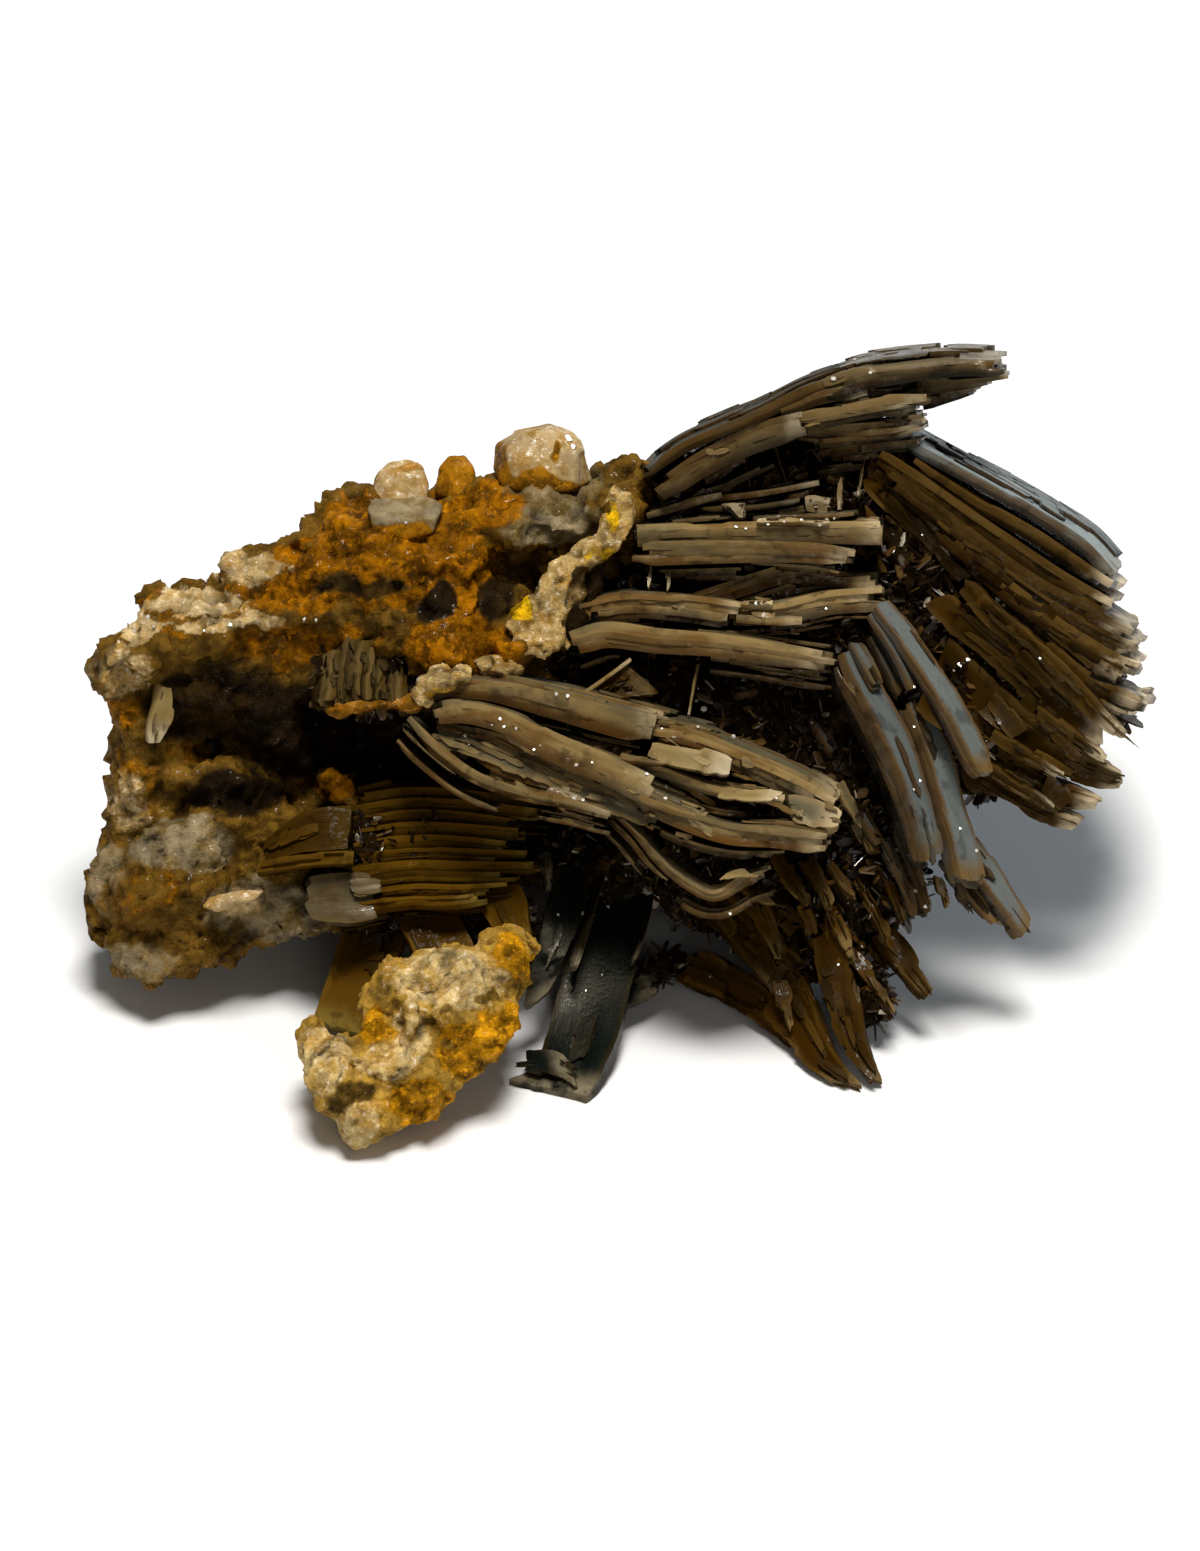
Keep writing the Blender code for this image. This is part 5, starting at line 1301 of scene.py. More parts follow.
def druse_group():
    """The node group that scatters a crystal over a skin."""
    group = bpy.data.node_groups.new("crystal druse", "GeometryNodeTree")
    inputs = {"Skin": "Geometry", "Crystal": "Object", "Finish": "Material", "Density": "Float",
              "Smallest": "Vector", "Largest": "Vector", "Lean": "Vector", "Seed": "Int"}
    for label, kind in inputs.items():
        group.interface.new_socket(name=label, in_out="INPUT", socket_type="NodeSocket" + kind)
    group.interface.new_socket(name="Druse", in_out="OUTPUT", socket_type="NodeSocketGeometry")
    source = group.nodes.new("NodeGroupInput").outputs

    def step(kind, settings, inputs):
        node = group.nodes.new(kind)
        for key, value in settings.items():
            setattr(node, key, value)
        for key, value in inputs.items():
            if isinstance(value, bpy.types.NodeSocket):
                group.links.new(value, node.inputs[key])
            else:
                node.inputs[key].default_value = value
        return node.outputs

    spots = step("GeometryNodeDistributePointsOnFaces", {},
                 {"Mesh": source["Skin"], "Density": source["Density"], "Seed": source["Seed"]})
    kind = {"data_type": "FLOAT_VECTOR"}
    back = step("ShaderNodeVectorMath", {"operation": "SCALE"}, {0: source["Lean"], "Scale": -1.0})
    turn = step("FunctionNodeRandomValue", kind, {0: back[0], 1: source["Lean"], "Seed": 1})
    spin = step("FunctionNodeEulerToRotation", {}, {0: turn[0]})
    way = step("FunctionNodeRotateRotation", {"rotation_space": "LOCAL"},
               {0: spots["Rotation"], 1: spin[0]})
    size = step("FunctionNodeRandomValue", kind, {0: source["Smallest"], 1: source["Largest"], "Seed": 2})
    shape = step("GeometryNodeObjectInfo", {}, {"Object": source["Crystal"]})
    placed = step("GeometryNodeInstanceOnPoints", {},
                  {"Points": spots["Points"], "Instance": shape["Geometry"], "Rotation": way[0],
                   "Scale": size[0]})
    tint = step("FunctionNodeRandomValue", {"data_type": "FLOAT"}, {2: 0.0, 3: 1.0, "Seed": 3})
    kept = step("GeometryNodeStoreNamedAttribute", {"data_type": "FLOAT", "domain": "INSTANCE"},
                {"Geometry": placed[0], "Name": "tint", "Value": tint[1]})
    real = step("GeometryNodeRealizeInstances", {}, {0: kept[0]})
    done = step("GeometryNodeSetMaterial", {}, {"Geometry": real[0], "Material": source["Finish"]})
    group.links.new(done[0], group.nodes.new("NodeGroupOutput").inputs[0])
    return group


# %% One tablet


def tablet():
    """One small tapering crystal, a unit long, standing on its root."""
    mesh = bpy.data.meshes.new("tablet")
    ring = [(-0.5, 0.0), (-0.3, -0.5), (0.5, -0.35), (0.5, 0.2), (0.2, 0.5)]
    root = [(x, y, -0.12) for x, y in ring]
    shoulder = [(x * 0.8 + 0.06, y * 0.9, 0.8 + 0.16 * x) for x, y in ring]
    sides = [(k, (k + 1) % 5, (k + 1) % 5 + 5, k + 5) for k in range(5)]
    roof = [(k + 5, (k + 1) % 5 + 5, 10) for k in range(5)]
    mesh.from_pydata([*root, *shoulder, (0.12, 0.0, 1.0)], [], [(4, 3, 2, 1, 0), *sides, *roof])
    obj = bpy.data.objects.new("tablet", mesh)
    bpy.context.scene.collection.objects.link(obj)
    return obj


def strew(name, skin, finish, density, smallest, largest, lean, seed):
    """Scatters crystals over a skin, density to the square millimetre, sizes in millimetres."""
    obj = bpy.data.objects.new(name, skin)
    bpy.context.scene.collection.objects.link(obj)
    step = obj.modifiers.new("druse", "NODES")
    step.node_group = GROUP
    given = {"Crystal": TABLET, "Finish": finish, "Density": density * 1e6, "Lean": lean, "Seed": seed,
             "Smallest": tuple(v * MM for v in smallest), "Largest": tuple(v * MM for v in largest)}
    for item in GROUP.interface.items_tree:
        if item.name in given:
            step[item.identifier] = given[item.name]
    mesh = bpy.data.meshes.new_from_object(obj.evaluated_get(bpy.context.evaluated_depsgraph_get()))
    bpy.data.objects.remove(obj)
    mesh.vertices.foreach_set("co", boxed(skin_points(mesh)[0]).ravel())
    return register(name, mesh, finish, (), 30)


GROUP, TABLET = druse_group(), tablet()
print("tablet faces", len(TABLET.data.polygons))

# %% [markdown]
# ## Hearts of the books
# Behind the blades of each book is a dark heart of stone, and the druse grows on it. The hearts are
# lumps: centre station, half sizes across, up and out, and the number that shapes them. They also close
# the books to the light. One tablet to the square millimetre is enough to hide the stone.

# %% Hearts and druse
HEARTS = {
    "crown_blades": [((76.6, 48.6, -7), (9.0, 3.6, 4.6), 1), ((80.6, 45.0, -9), (8.0, 3.0, 4), 42),
                     ((83.4, 48.4, -7), (5.6, 4.4, 5), 2), ((72, 50.0, -5), (10, 4.0, 5), 22),
                     ((83.6, 51.0, -5), (6, 5.0, 5.4), 23)],
    "middle_blades": [((71, 58.6, -3), (13, 8.4, 7), 3), ((66, 66, 0), (10, 6, 5.6), 4),
                      ((80, 64, -1), (8, 7, 6), 24), ((76, 72, 0), (11, 6, 5.4), 25)],
    "front_blades": [((55, 74.0, 4.5), (10, 5.0, 5.6), 5), ((69, 79.5, 7), (9, 5.0, 6), 6),
                     ((62, 77, 8), (9, 3.6, 5), 26)],
    "arch_blades": [((88, 67, 2.6), (4.2, 5, 3.4), 7), ((91.6, 74, 4.0), (3.8, 5.6, 3.6), 8),
                    ((91.6, 80.6, 3.6), (2.8, 4.4, 3), 9), ((86.6, 79, 2), (5, 6, 4), 10),
                    ((81, 79, -1), (6, 7, 5), 27)],
    "right_fan_blades": [((91.6, 55.6, -3), (5, 8.6, 7), 11), ((90.4, 47.6, -2), (3.2, 3.6, 5), 45),
                         ((96.4, 58.4, -1), (3.4, 3.4, 4), 46), ((98.6, 69.6, -1), (6, 9.4, 5.0), 13),
                         ((91, 64, -1), (4.6, 7, 5.4), 28), ((90, 57.4, -4), (4, 4, 4), 41)],
    "lower_fan_blades": [((77, 90.6, -5), (8, 5, 6), 14), ((84, 93, -1.4), (5.4, 6.4, 5), 15),
                         ((87.0, 99.4, 2.8), (2.4, 3.6, 2.4), 16), ((71, 87, -5), (8, 5, 6), 29),
                         ((66.0, 96.6, -5), (5.4, 0.9, 1.6), 31), ((88.6, 88, 2), (3.4, 5, 3), 32)],
    "dark_blades": [((59.6, 86.6, -4), (6.6, 5.4, 6), 17)],
    "striated_blades": [((40, 87, -1.0), (9.6, 6.6, 5), 18), ((48, 90, -1), (5, 5, 4), 33)],
    "small_bundle": [((37, 67.4, 3.0), (5.4, 3.6, 3.4), 20)],
    "back_blades": [((57, 64, -29), (9, 6.6, 5.5), 21)],
}
VOXELS = (0.7, 0.6)  # coarse and fine, in millimetres
SMALLEST, LARGEST, TILT = (0.25, 0.1, 0.5), (1.3, 0.35, 1.9), (1.0, 1.0, 3.1)
for number, (name, lumps) in enumerate(HEARTS.items()):
    mesh = mass(name, lumps, *VOXELS, seed=number)
    # The hearts are painted partly soot-dark: painted shade behind the blades.
    stain(mesh, [], (0.1, 0, 0.35, 0))
    register(name + "_heart", mesh, druse_and_shade_finish)
    strew(name + "_druse", mesh.copy(), druse_crystals, 1.0, SMALLEST, LARGEST, TILT, number)
bpy.data.objects.remove(TABLET)

# %% [markdown]
# ## The host rock
# The rock is drawn by three slabs, whose outlines give it its silhouette, with lumps to give it a body
# and shelves. A slab is its outline, how far out it is at the top, how much farther out each millimetre
# down, and how deep it goes. The spots are where each colour of stone is: centre, half sizes, which
# colour (0 ochre, 1 cream, 2 soot-dark, which is mostly painted shade in the recesses, 3 grey) and how
# much of it.

# %% Outline and lumps of the rock
ROCK_SLABS = [
    ([(9.3, 67.2), (9.5, 66.2), (11.5, 64.0), (13.7, 62.3), (14.3, 60.2), (16.6, 58.3), (18.7, 58.5),
      (21.3, 57.5), (23.9, 56.2), (26.7, 54.5), (28.7, 54.4), (30.4, 53.2), (31.4, 52.2), (31.7, 50.7),
      (32.5, 49.3), (36.4, 49.0), (40, 50), (46, 50), (52, 52), (54, 58), (51, 62), (51, 66.5), (44, 68),
      (36, 70), (28, 68.6), (20, 68), (17, 68.6), (15, 69), (13.8, 73.8), (12.4, 73.5), (11.4, 72),
      (11.8, 69.2), (9.9, 68)], 0.5, 0.06, 5),
    ([(12.9, 76.3), (13.8, 73.0), (16, 76), (19, 80), (26, 82), (30, 84), (34, 88), (35, 93.2),
      (33, 93.0), (30.6, 93.6), (25.9, 93.9), (22.4, 95.8), (20.1, 96.8), (18, 96.6), (15.7, 98.0),
      (12.7, 98.1), (10.6, 96.8), (9.7, 90.7), (8.2, 88.6), (8.4, 87.3), (11.3, 82.5), (11.0, 81.1),
      (11.1, 77.2)], -1.0, 0.12, 5),
    ([(58.4, 50.0), (59.7, 47.7), (62.6, 46.8), (64.2, 46.8), (64.6, 49), (63.6, 52), (60, 54.6),
      (54, 54.6), (47, 54), (47.6, 48.4), (49.4, 47.4), (54, 49)], 1.0, 0.25, 5),
]
ROCK = [
    ((27.5, 74, -7), (7, 4.6, 5), 95), ((22, 79, -6), (6, 4, 5), 96),
    ((17.5, 72.6, -4.4), (3.6, 3.6, 4), 97), ((38.4, 57.4, 0.6), (8.8, 7.6, 8), 30),
    ((29.4, 61.4, -0.6), (9.6, 7.0, 7), 31), ((19.6, 64.0, 0), (7.4, 5.2, 6), 32),
    ((13.8, 65.6, 0.6), (4.6, 3.8, 4.6), 62), ((55, 53.4, -2), (9, 5.6, 8), 33),
    ((47.6, 63.4, 2.4), (7.5, 5.0, 6), 34), ((57, 66, -21), (21, 13, 12), 35),
    ((55, 75, -25), (26, 14, 14), 36), ((31, 75.4, -16.4), (17, 12.4, 11), 37),
    ((16.6, 90, -3), (8.2, 7.4, 7), 38), ((27, 88.0, -3.6), (9, 5.6, 6), 39),
    ((14.4, 77, -2.6), (3.0, 8, 4.4), 40), ((79, 61, -19), (12, 12, 10), 43),
    ((78, 78, -18), (12, 12, 11), 44), ((58, 80, -16), (13, 9.4, 8.4), 45),
    ((45.6, 52.0, -4), (6, 4.4, 7), 46), ((30, 65, -9), (15, 8, 7), 48),
    ((22, 69.4, -0.4), (8, 2.6, 4.4), 63), ((27, 72.6, -3), (6, 2.6, 4), 64),
    ((20.5, 77.6, -2), (6, 2.2, 4), 65), ((24, 82.6, -2), (7, 2.4, 4.6), 66),
    ((17.4, 84.2, -1), (6, 3.0, 5), 67), ((33, 57, 4.4), (5, 2.6, 4), 68),
    ((45, 57.4, 3.6), (3.6, 5.6, 4), 69), ((39.6, 63, 4.6), (4, 3.4, 4), 71),
    ((44.4, 65.4, 6.4), (4.6, 2.4, 3.6), 72), ((51.4, 64.4, 7), (2.8, 2.6, 4), 73),
    ((22, 61.8, 2.4), (6.6, 1.5, 4), 74), ((36, 53, 4), (4.4, 3.0, 4), 75),
    ((15.6, 60.6, 1), (2.2, 2.2, 3.4), 76), ((12.9, 70.8, -1), (1.9, 3.0, 3), 77),
    ((13.2, 79, 0), (2.2, 3.0, 3), 78), ((32.9, 78.2, -1), (1.9, 1.5, 2), 79),
    ((34.8, 80.0, 0), (1.3, 1.2, 2), 81), ((50.4, 52.6, 3), (5.4, 2.0, 4), 82),
    ((60.6, 50.6, 3), (3.0, 2.4, 4), 83), ((64.4, 49.6, -5), (2.6, 2.6, 4), 85),
    ((43, 71.0, -8), (9, 5, 6), 84),
]
print("slabs", len(ROCK_SLABS), "and lumps", len(ROCK))

# %% Host rock
SPOTS = [
    ((44, 51.6), (3.4, 2.8), 2, 0.55), ((57, 66), (3, 3), 2, 0.6), ((40, 55), (9, 7), 0, 1.0),
    ((47, 60), (5, 7), 0, 1.0), ((30, 64.6), (8, 2.4), 0, 0.7), ((12.6, 69), (3, 4), 0, 0.6),
    ((20, 74), (5, 3), 0, 0.5), ((46, 65), (6, 3), 0, 1.0), ((33, 57), (7, 4), 0, 1.0),
    ((28, 58.6), (6, 3), 0, 0.8), ((18, 61), (6, 3), 0, 0.6), ((36, 58.8), (5, 1.2), 2, 0.7),
    ((43.6, 60.6), (2.0, 2.6), 2, 0.8), ((50, 60), (2.4, 3), 2, 0.7), ((55, 52), (6, 3), 3, 1.0),
    ((49, 50), (4, 3), 0, 0.8), ((55, 48), (6, 2.4), 3, 0.6), ((20, 60.0), (5, 1.4), 1, 0.9),
    ((14, 62.4), (2.4, 2.2), 1, 0.9), ((25, 56.6), (5, 1.4), 1, 0.7), ((22.5, 62.4), (6.4, 0.9), 1, 1.0),
    ((12.4, 66.8), (3.6, 2.6), 3, 0.9), ((12.8, 79.6), (2.2, 3.2), 3, 0.7), ((22, 70.5), (9, 5), 2, 0.7),
    ((31, 73), (9, 5), 2, 0.9), ((40, 75.5), (12, 4.4), 2, 1.2), ((58, 80), (16, 8), 2, 1.2),
    ((70, 90), (14, 8), 2, 1.2), ((33.2, 78.2), (2.4, 1.8), 0, 1.0), ((13, 79), (2.6, 4), 0, 0.6),
    ((18, 84.5), (6, 3), 3, 0.9), ((30, 91), (6, 2.6), 3, 0.9), ((10.5, 88), (2.4, 4), 3, 0.7),
    ((15, 90), (4.4, 3.6), 0, 0.45), ((27, 91), (8, 3), 3, 0.9), ((24, 79.4), (6, 2.4), 2, 0.8),
    ((14, 96), (4, 2), 3, 0.8), ((15, 91), (5, 5), 2, 0.3), ((12.8, 79.8), (2.4, 3.4), 1, 0.6),
    ((12.6, 67), (3.4, 2.6), 1, 0.6),
]
mesh = mass("rock", ROCK, 0.75, 0.5, seed=70, slabs=ROCK_SLABS)
stain(mesh, SPOTS)
register("rock", mesh, rock_finish, ("host_rock",))

# %% [markdown]
# ## The ochre knob
# A lump of cream and orange crust hangs at the lower left. It is finer and less craggy than the rock, so
# it gets a finer skin.

# %% Ochre knob
KNOB_SLABS = [
    ([(38.0, 96.2), (39.7, 95.1), (41, 95.9), (42, 95.2), (44.0, 95.4), (45.8, 94.2), (47.1, 95.5),
      (48, 95.1), (48.2, 93.9), (50, 92.7), (51.6, 92.7), (53, 93.8), (53.9, 94.9), (52.8, 96.8),
      (52.4, 98.5), (51.8, 100), (52.1, 102.8), (50.4, 104.6), (48.0, 106.8), (46.4, 108.4), (45, 109.2),
      (44, 110.2), (43, 111.4), (40.5, 112.9), (38.6, 113.3), (36.8, 114.1), (35.4, 115.0), (34.3, 114.2),
      (33.7, 112.2), (32.5, 110.4), (31.5, 107.6), (30.5, 105.6), (29.9, 103.6), (30.5, 102.1),
      (32, 101.9), (32.7, 103.7), (33.4, 104.3), (35, 104.4), (36.8, 103.2), (37.0, 101.6), (36.1, 100.2),
      (36.1, 99), (37.2, 98.7), (38.4, 98.7), (38.6, 97.6)], 12.6, 0.28, 4.5),
]
KNOB = [
    ((44.8, 101.6, 14.0), (6.4, 5.0, 4.6), 50), ((50.6, 96.4, 12.4), (3.0, 3.4, 3.4), 51),
    ((39.6, 99.4, 13.6), (2.6, 3.2, 3.4), 52), ((41.6, 106.8, 15.6), (5.0, 4.4, 4.0), 53),
    ((33.4, 107.6, 17.0), (3.2, 4.4, 3.4), 54), ((36.6, 111.4, 17.6), (3.0, 2.9, 2.8), 55),
    ((45, 97.4, 14.4), (4.4, 2.4, 3.0), 56), ((47.6, 104.4, 14.8), (3.4, 3.0, 3.6), 57),
    ((41.0, 102.6, 16.6), (1.4, 3.4, 2.6), 58),
]
# The soot-dark spots paint shade into the knob's pockets.
KNOB_SPOTS = [
    ((45, 98), (6, 3.4), 1, 0.9), ((40.8, 104), (1.6, 3.6), 1, 0.9), ((32.5, 106), (3.4, 4), 1, 0.8),
    ((36, 112.6), (2.6, 2.6), 1, 0.8), ((38, 106.4), (2.6, 1.8), 1, 0.7), ((47.4, 105), (4, 3.2), 0, 1.0),
    ((42.4, 110), (3.6, 2.6), 0, 1.0), ((51, 95.6), (2.4, 2.6), 0, 0.9),
    ((37.6, 102.6), (1.8, 2.0), 0, 0.9), ((35, 109.6), (2.6, 1.4), 2, 0.6),
    ((49, 99.4), (1.0, 0.6), 2, 0.6), ((45, 104.4), (1.2, 0.5), 2, 0.5),
    ((44.4, 101), (0.9, 0.6), 2, 0.5), ((50.6, 102.4), (2, 2.4), 0, 0.9),
]
mesh = mass("knob", KNOB, 0.5, 0.3, seed=80, slabs=KNOB_SLABS, pores=0.12, rugged=0.6)
stain(mesh, KNOB_SPOTS, (0.35, 0.35, 0.1, 0.1))
register("knob", mesh, knob_finish, ("ochre_knob",))

# %% [markdown]
# ## Crusts
# A cream ridge with yellow spots runs down between the rock and the books. It has sharp corners, so it is
# made from hulls. A cap of the same crust sits on the front book, and a rusty lip lies under the rods:
# both are rounded, so they are lumps.

# %% Ridge, cap and lip
RIDGE = [
    [(61.4, 48.4, 6), (63.6, 49.2, 6.6), (63.8, 52.8, 7.6), (62.2, 54.6, 8.4), (59.4, 54.4, 8),
     (59.9, 51.0, 7), (61.6, 49.4, 2), (63.4, 52.6, 3), (60, 53.8, 3.4)],
    [(62.6, 53.2, 8.0), (62.0, 55.2, 9), (58.4, 56.2, 9.2), (56.2, 57.8, 9.2), (55.0, 56.4, 8.6),
     (57.2, 54.4, 8), (60, 53.0, 7.4), (58, 56, 4), (61.6, 54.6, 4)],
    [(55.2, 55.8, 8.6), (57.8, 56.0, 8.8), (57.0, 58.6, 9.6), (56.8, 61.4, 10), (54.0, 61.0, 9.8),
     (53.2, 58.8, 9), (54.2, 57.0, 8.6), (55.6, 58.6, 4.6)],
    [(50.6, 60.6, 8.4), (53.4, 59.2, 9), (56.6, 60.4, 9.8), (56.2, 64.4, 10.6), (54.6, 66.2, 10.8),
     (51.4, 65.4, 10.2), (50.0, 62.2, 9.0), (52.6, 62.8, 5), (55, 64, 5.4)],
    [(57.0, 56.6, 7.4), (60.6, 54.8, 7), (59.8, 58.4, 7.4), (58.2, 62.6, 8.4), (56.8, 65.2, 9),
     (56.0, 61.4, 8.4), (57, 58, 3.4), (57.4, 63, 4.6)],
]
CAP = [
    ((43.6, 68.0, 11.4), (2.0, 1.3, 1.8), 21), ((45.8, 67.6, 12.0), (1.5, 1.0, 1.4), 22),
    ((42.4, 69.2, 11.0), (1.0, 1.2, 1.4), 23), ((50.0, 66.6, 8.6), (2.6, 1.1, 1.6), 24),
]
LIP = [
    ((33.8, 71.0, 8.0), (1.5, 0.8, 1.6), 31), ((36.2, 70.8, 8.6), (1.7, 0.8, 1.6), 32),
    ((38.6, 70.5, 9.0), (1.6, 0.7, 1.6), 33), ((41.0, 70.4, 9.4), (1.4, 0.7, 1.6), 34),
]
# The soot-dark spots are the crust's dark inner edge and the painted shade of the hollow beside it.
RIDGE_SPOTS = [
    ((52.6, 60.4), (1.5, 1.3), 0, 1.0), ((61.4, 51.6), (0.9, 2.2), 0, 0.75),
    ((64.6, 50.4), (0.8, 3.4), 2, 0.9), ((61.8, 57.0), (2.6, 1.3), 2, 1.0),
    ((59.6, 58.9), (1.6, 2.6), 2, 1.0), ((58.3, 62.8), (1.2, 3.0), 2, 1.0),
    ((38, 71.9), (6, 0.8), 2, 0.6), ((44.4, 68.9), (3, 0.7), 0, 0.5), ((59.6, 55.6), (2.0, 0.6), 0, 0.6),
]
CRUSTS = [
    ("ridge", [], RIDGE, "crust_ridge", ("crust_ridge",), ridge_finish, (0.35, 0.75, 0, 0)),
    ("cap", CAP, [], "grey_tan_barite", (), ridge_finish, (0.2, 0.8, 0, 0)),
    ("lip", LIP, [], "grey_tan_barite", (), rock_finish, (0.6, 0.3, 0.25, 0)),
]
for name, lumps, hulls, slot, nodes, finish, paint in CRUSTS:
    mesh = mass(name, lumps, 0.35, 0.26, seed=90, pores=0.3, hulls=hulls, rugged=0.45)
    stain(mesh, RIDGE_SPOTS, paint)
    register(name, mesh, finish, nodes)

# %% [markdown]
# ## Stout crystals
# Five blocky crystals stand on the rock. A convex hull round a few corners gives each its flat faces, and
# a very light roughening takes the newness off. The rust at their feet is painted like the rock's.

# %% Stout crystals
CRYSTALS = {
    "block_crystal": ([(50.9, 44.6, 0.8), (52, 43.4, 0.4), (54.8, 42.9, 0.2), (55.4, 45, 1.2),
                       (53.4, 46.3, 2), (51.4, 46.1, 1.8), (49.6, 44.3, -3), (51.5, 43.1, -4),
                       (55, 42.2, -4.5), (57.4, 43.2, -3), (58.3, 44.1, -1.6), (57.6, 46.2, 0.6),
                       (59.3, 48.2, -2), (50, 48.5, 1.2), (54, 49.5, 1.8), (57.6, 48.9, 1.4),
                       (49.4, 46.9, -1), (50, 48.8, -6), (58, 48.8, -6)], "pale_barite",
                      (0.1, 0.95, 0, 0)),
    "round_crystal": ([(37.1, 49.4, 0), (37.7, 47.2, -0.5), (38.9, 46.1, -1.6), (40.6, 45.8, -1.8),
                       (42.3, 46.4, -1.2), (42.9, 48.4, -0.6), (42.6, 50.4, 0.6), (37.4, 50.8, 0.8),
                       (39.5, 47.1, 0.4), (41.2, 47.3, 0.4), (37.5, 47.8, -4.6), (42.3, 47.8, -4.6),
                       (38, 50.8, -4.6), (42, 50.8, -4.6)], "pale_barite", (0.3, 0.8, 0, 0)),
    "orange_crystal": ([(43.5, 49.4, -1), (43.9, 46.7, -1.8), (45, 45.4, -2.6), (46.6, 45.4, -2.6),
                        (47.5, 46.5, -2), (47.9, 49.4, -1), (45.6, 46.9, -0.4), (46.2, 50.4, 0),
                        (43.9, 47.8, -5.4), (47.5, 47.8, -5.4), (45.6, 50.8, -5)], "amber_barite",
                       (0.95, 0.1, 0, 0)),
    "ledge_crystal": ([(36.8, 50.9, 5.4), (37.4, 49.8, 4.0), (42.6, 49.6, 3.8), (44.4, 50.4, 4.8),
                       (43.6, 51.8, 6.6), (40.8, 52.1, 7.1), (37.6, 51.8, 6.6), (37.2, 53.4, 6.4),
                       (43.4, 53.2, 6.2), (40.6, 54.0, 6.6), (37, 50.4, 1), (44, 50.4, 1), (40, 53.6, 0)],
                      "blue_grey_barite", (0, 0, 0.0, 1.0)),
    "lens_crystal": ([(20.0, 90.7, 5.6), (20.8, 89.6, 5.2), (23.8, 88.9, 5.0), (26.6, 88.9, 4.8),
                      (25.6, 90.0, 5.6), (21.8, 91.4, 5.8), (23.0, 90.0, 6.4), (21, 90.6, 2),
                      (25.6, 89.4, 2)], "pale_barite", (0.1, 0.8, 0.1, 0.3)),
}
CRYSTAL_SPOTS = [
    ((54.0, 49.2), (5.4, 1.9), 0, 1.0), ((49.8, 46.4), (1.1, 3), 0, 0.8),
    ((55.6, 44.6), (0.7, 1.4), 0, 0.9), ((40.4, 46.6), (2.0, 0.6), 0, 0.6),
    ((40, 53.4), (4, 1.0), 0, 1.0),
]
for name, (corners, slot, paint) in CRYSTALS.items():
    mesh = mass(name, [], 0.24, 0.2, pores=0, seed=3, hulls=[corners], rugged=0.1)
    stain(mesh, CRYSTAL_SPOTS, paint)
    finish = ledge_finish if name == "ledge_crystal" else clear_finish
    register(name + "_stone", mesh, finish, (name,))

# %% [markdown]
# ## Loose shards
# Broken shards lie on the books, where they fell. They must rest on whatever is there, so each is dropped
# along a sight line through its station onto what that line meets, and left out where it would hang over
# a hollow. Each zone is its centre, half sizes, the heading in degrees below level, how many, length and
# width, and how far the heading strays.

# %% Where a sight line lands
scene = bpy.context.scene
datum = place((*DATUM, 0))
eye = OUTWARD * SIGHT * MM + datum
MISSED = -99.0


def touch(x, y):
    """The point met by the sight line through a station, the line's direction, and how far out it is."""
    way = place((x, y, 0)) - eye
    way /= np.linalg.norm(way)
    hit, at, *_ = scene.ray_cast(bpy.context.evaluated_depsgraph_get(), eye.tolist(), way.tolist())
    out = (np.array(at) - datum) @ OUTWARD / MM
    return np.array(at), way, out if hit else MISSED


print("the middle of the specimen is", round(touch(*DATUM)[2], 2), "mm out")

# %% Shards
SHARDS = {
    "fan_shards": [((101, 66), (8, 6), 43, 16, (5, 2.2), 6), ((101.5, 66.5), (5, 4), 43, 9, (8, 1.3), 3),
                   ((99, 75), (3.2, 4.4), 48, 9, (5, 1.8), 8), ((104, 76), (5, 4), 34, 10, (4.4, 1.6), 6),
                   ((106, 61), (6, 3), 34, 8, (5, 1.2), 5), ((91, 52), (3, 6), 60, 9, (3.4, 1.2), 20)],
    "lower_shards": [((73, 91), (7, 4), 50, 24, (4.2, 1.6), 18),
                     ((81, 92), (5, 5), 62, 20, (4.4, 1.4), 14),
                     ((76, 98), (7, 4), 45, 14, (4.4, 1.6), 12),
                     ((86, 97), (3, 4), 60, 8, (3.4, 1.2), 12),
                     ((67, 88), (3, 3), 50, 8, (3.2, 1.6), 16)],
    "grey_shards": [((63, 76), (12, 4), 24, 18, (4.4, 1.1), 7), ((72, 80), (9, 4), 26, 12, (3.6, 1.0), 8),
                    ((84, 76), (3, 9), 62, 12, (4.6, 1.0), 7), ((72, 61), (10, 4), 5, 10, (4.0, 0.8), 5),
                    ((78, 45), (8, 5), -8, 10, (3.2, 0.9), 16), ((52, 82), (6, 4), 30, 8, (3.4, 1.0), 10),
                    ((90, 41), (6, 2), -6, 8, (3.4, 0.8), 8)],
}
SHARD_FINISHES = ((brown, "brown_barite"), (amber, "amber_barite"), (grey_tan, "grey_tan_barite"))
CORNERS = ((-0.5, 0), (0.5, 0), (-0.5, 1), (0.5, 1))
DEEPEST, UNEVEN, SUNK = -12, 4.5, 2.2  # millimetres
rng = np.random.default_rng(12)
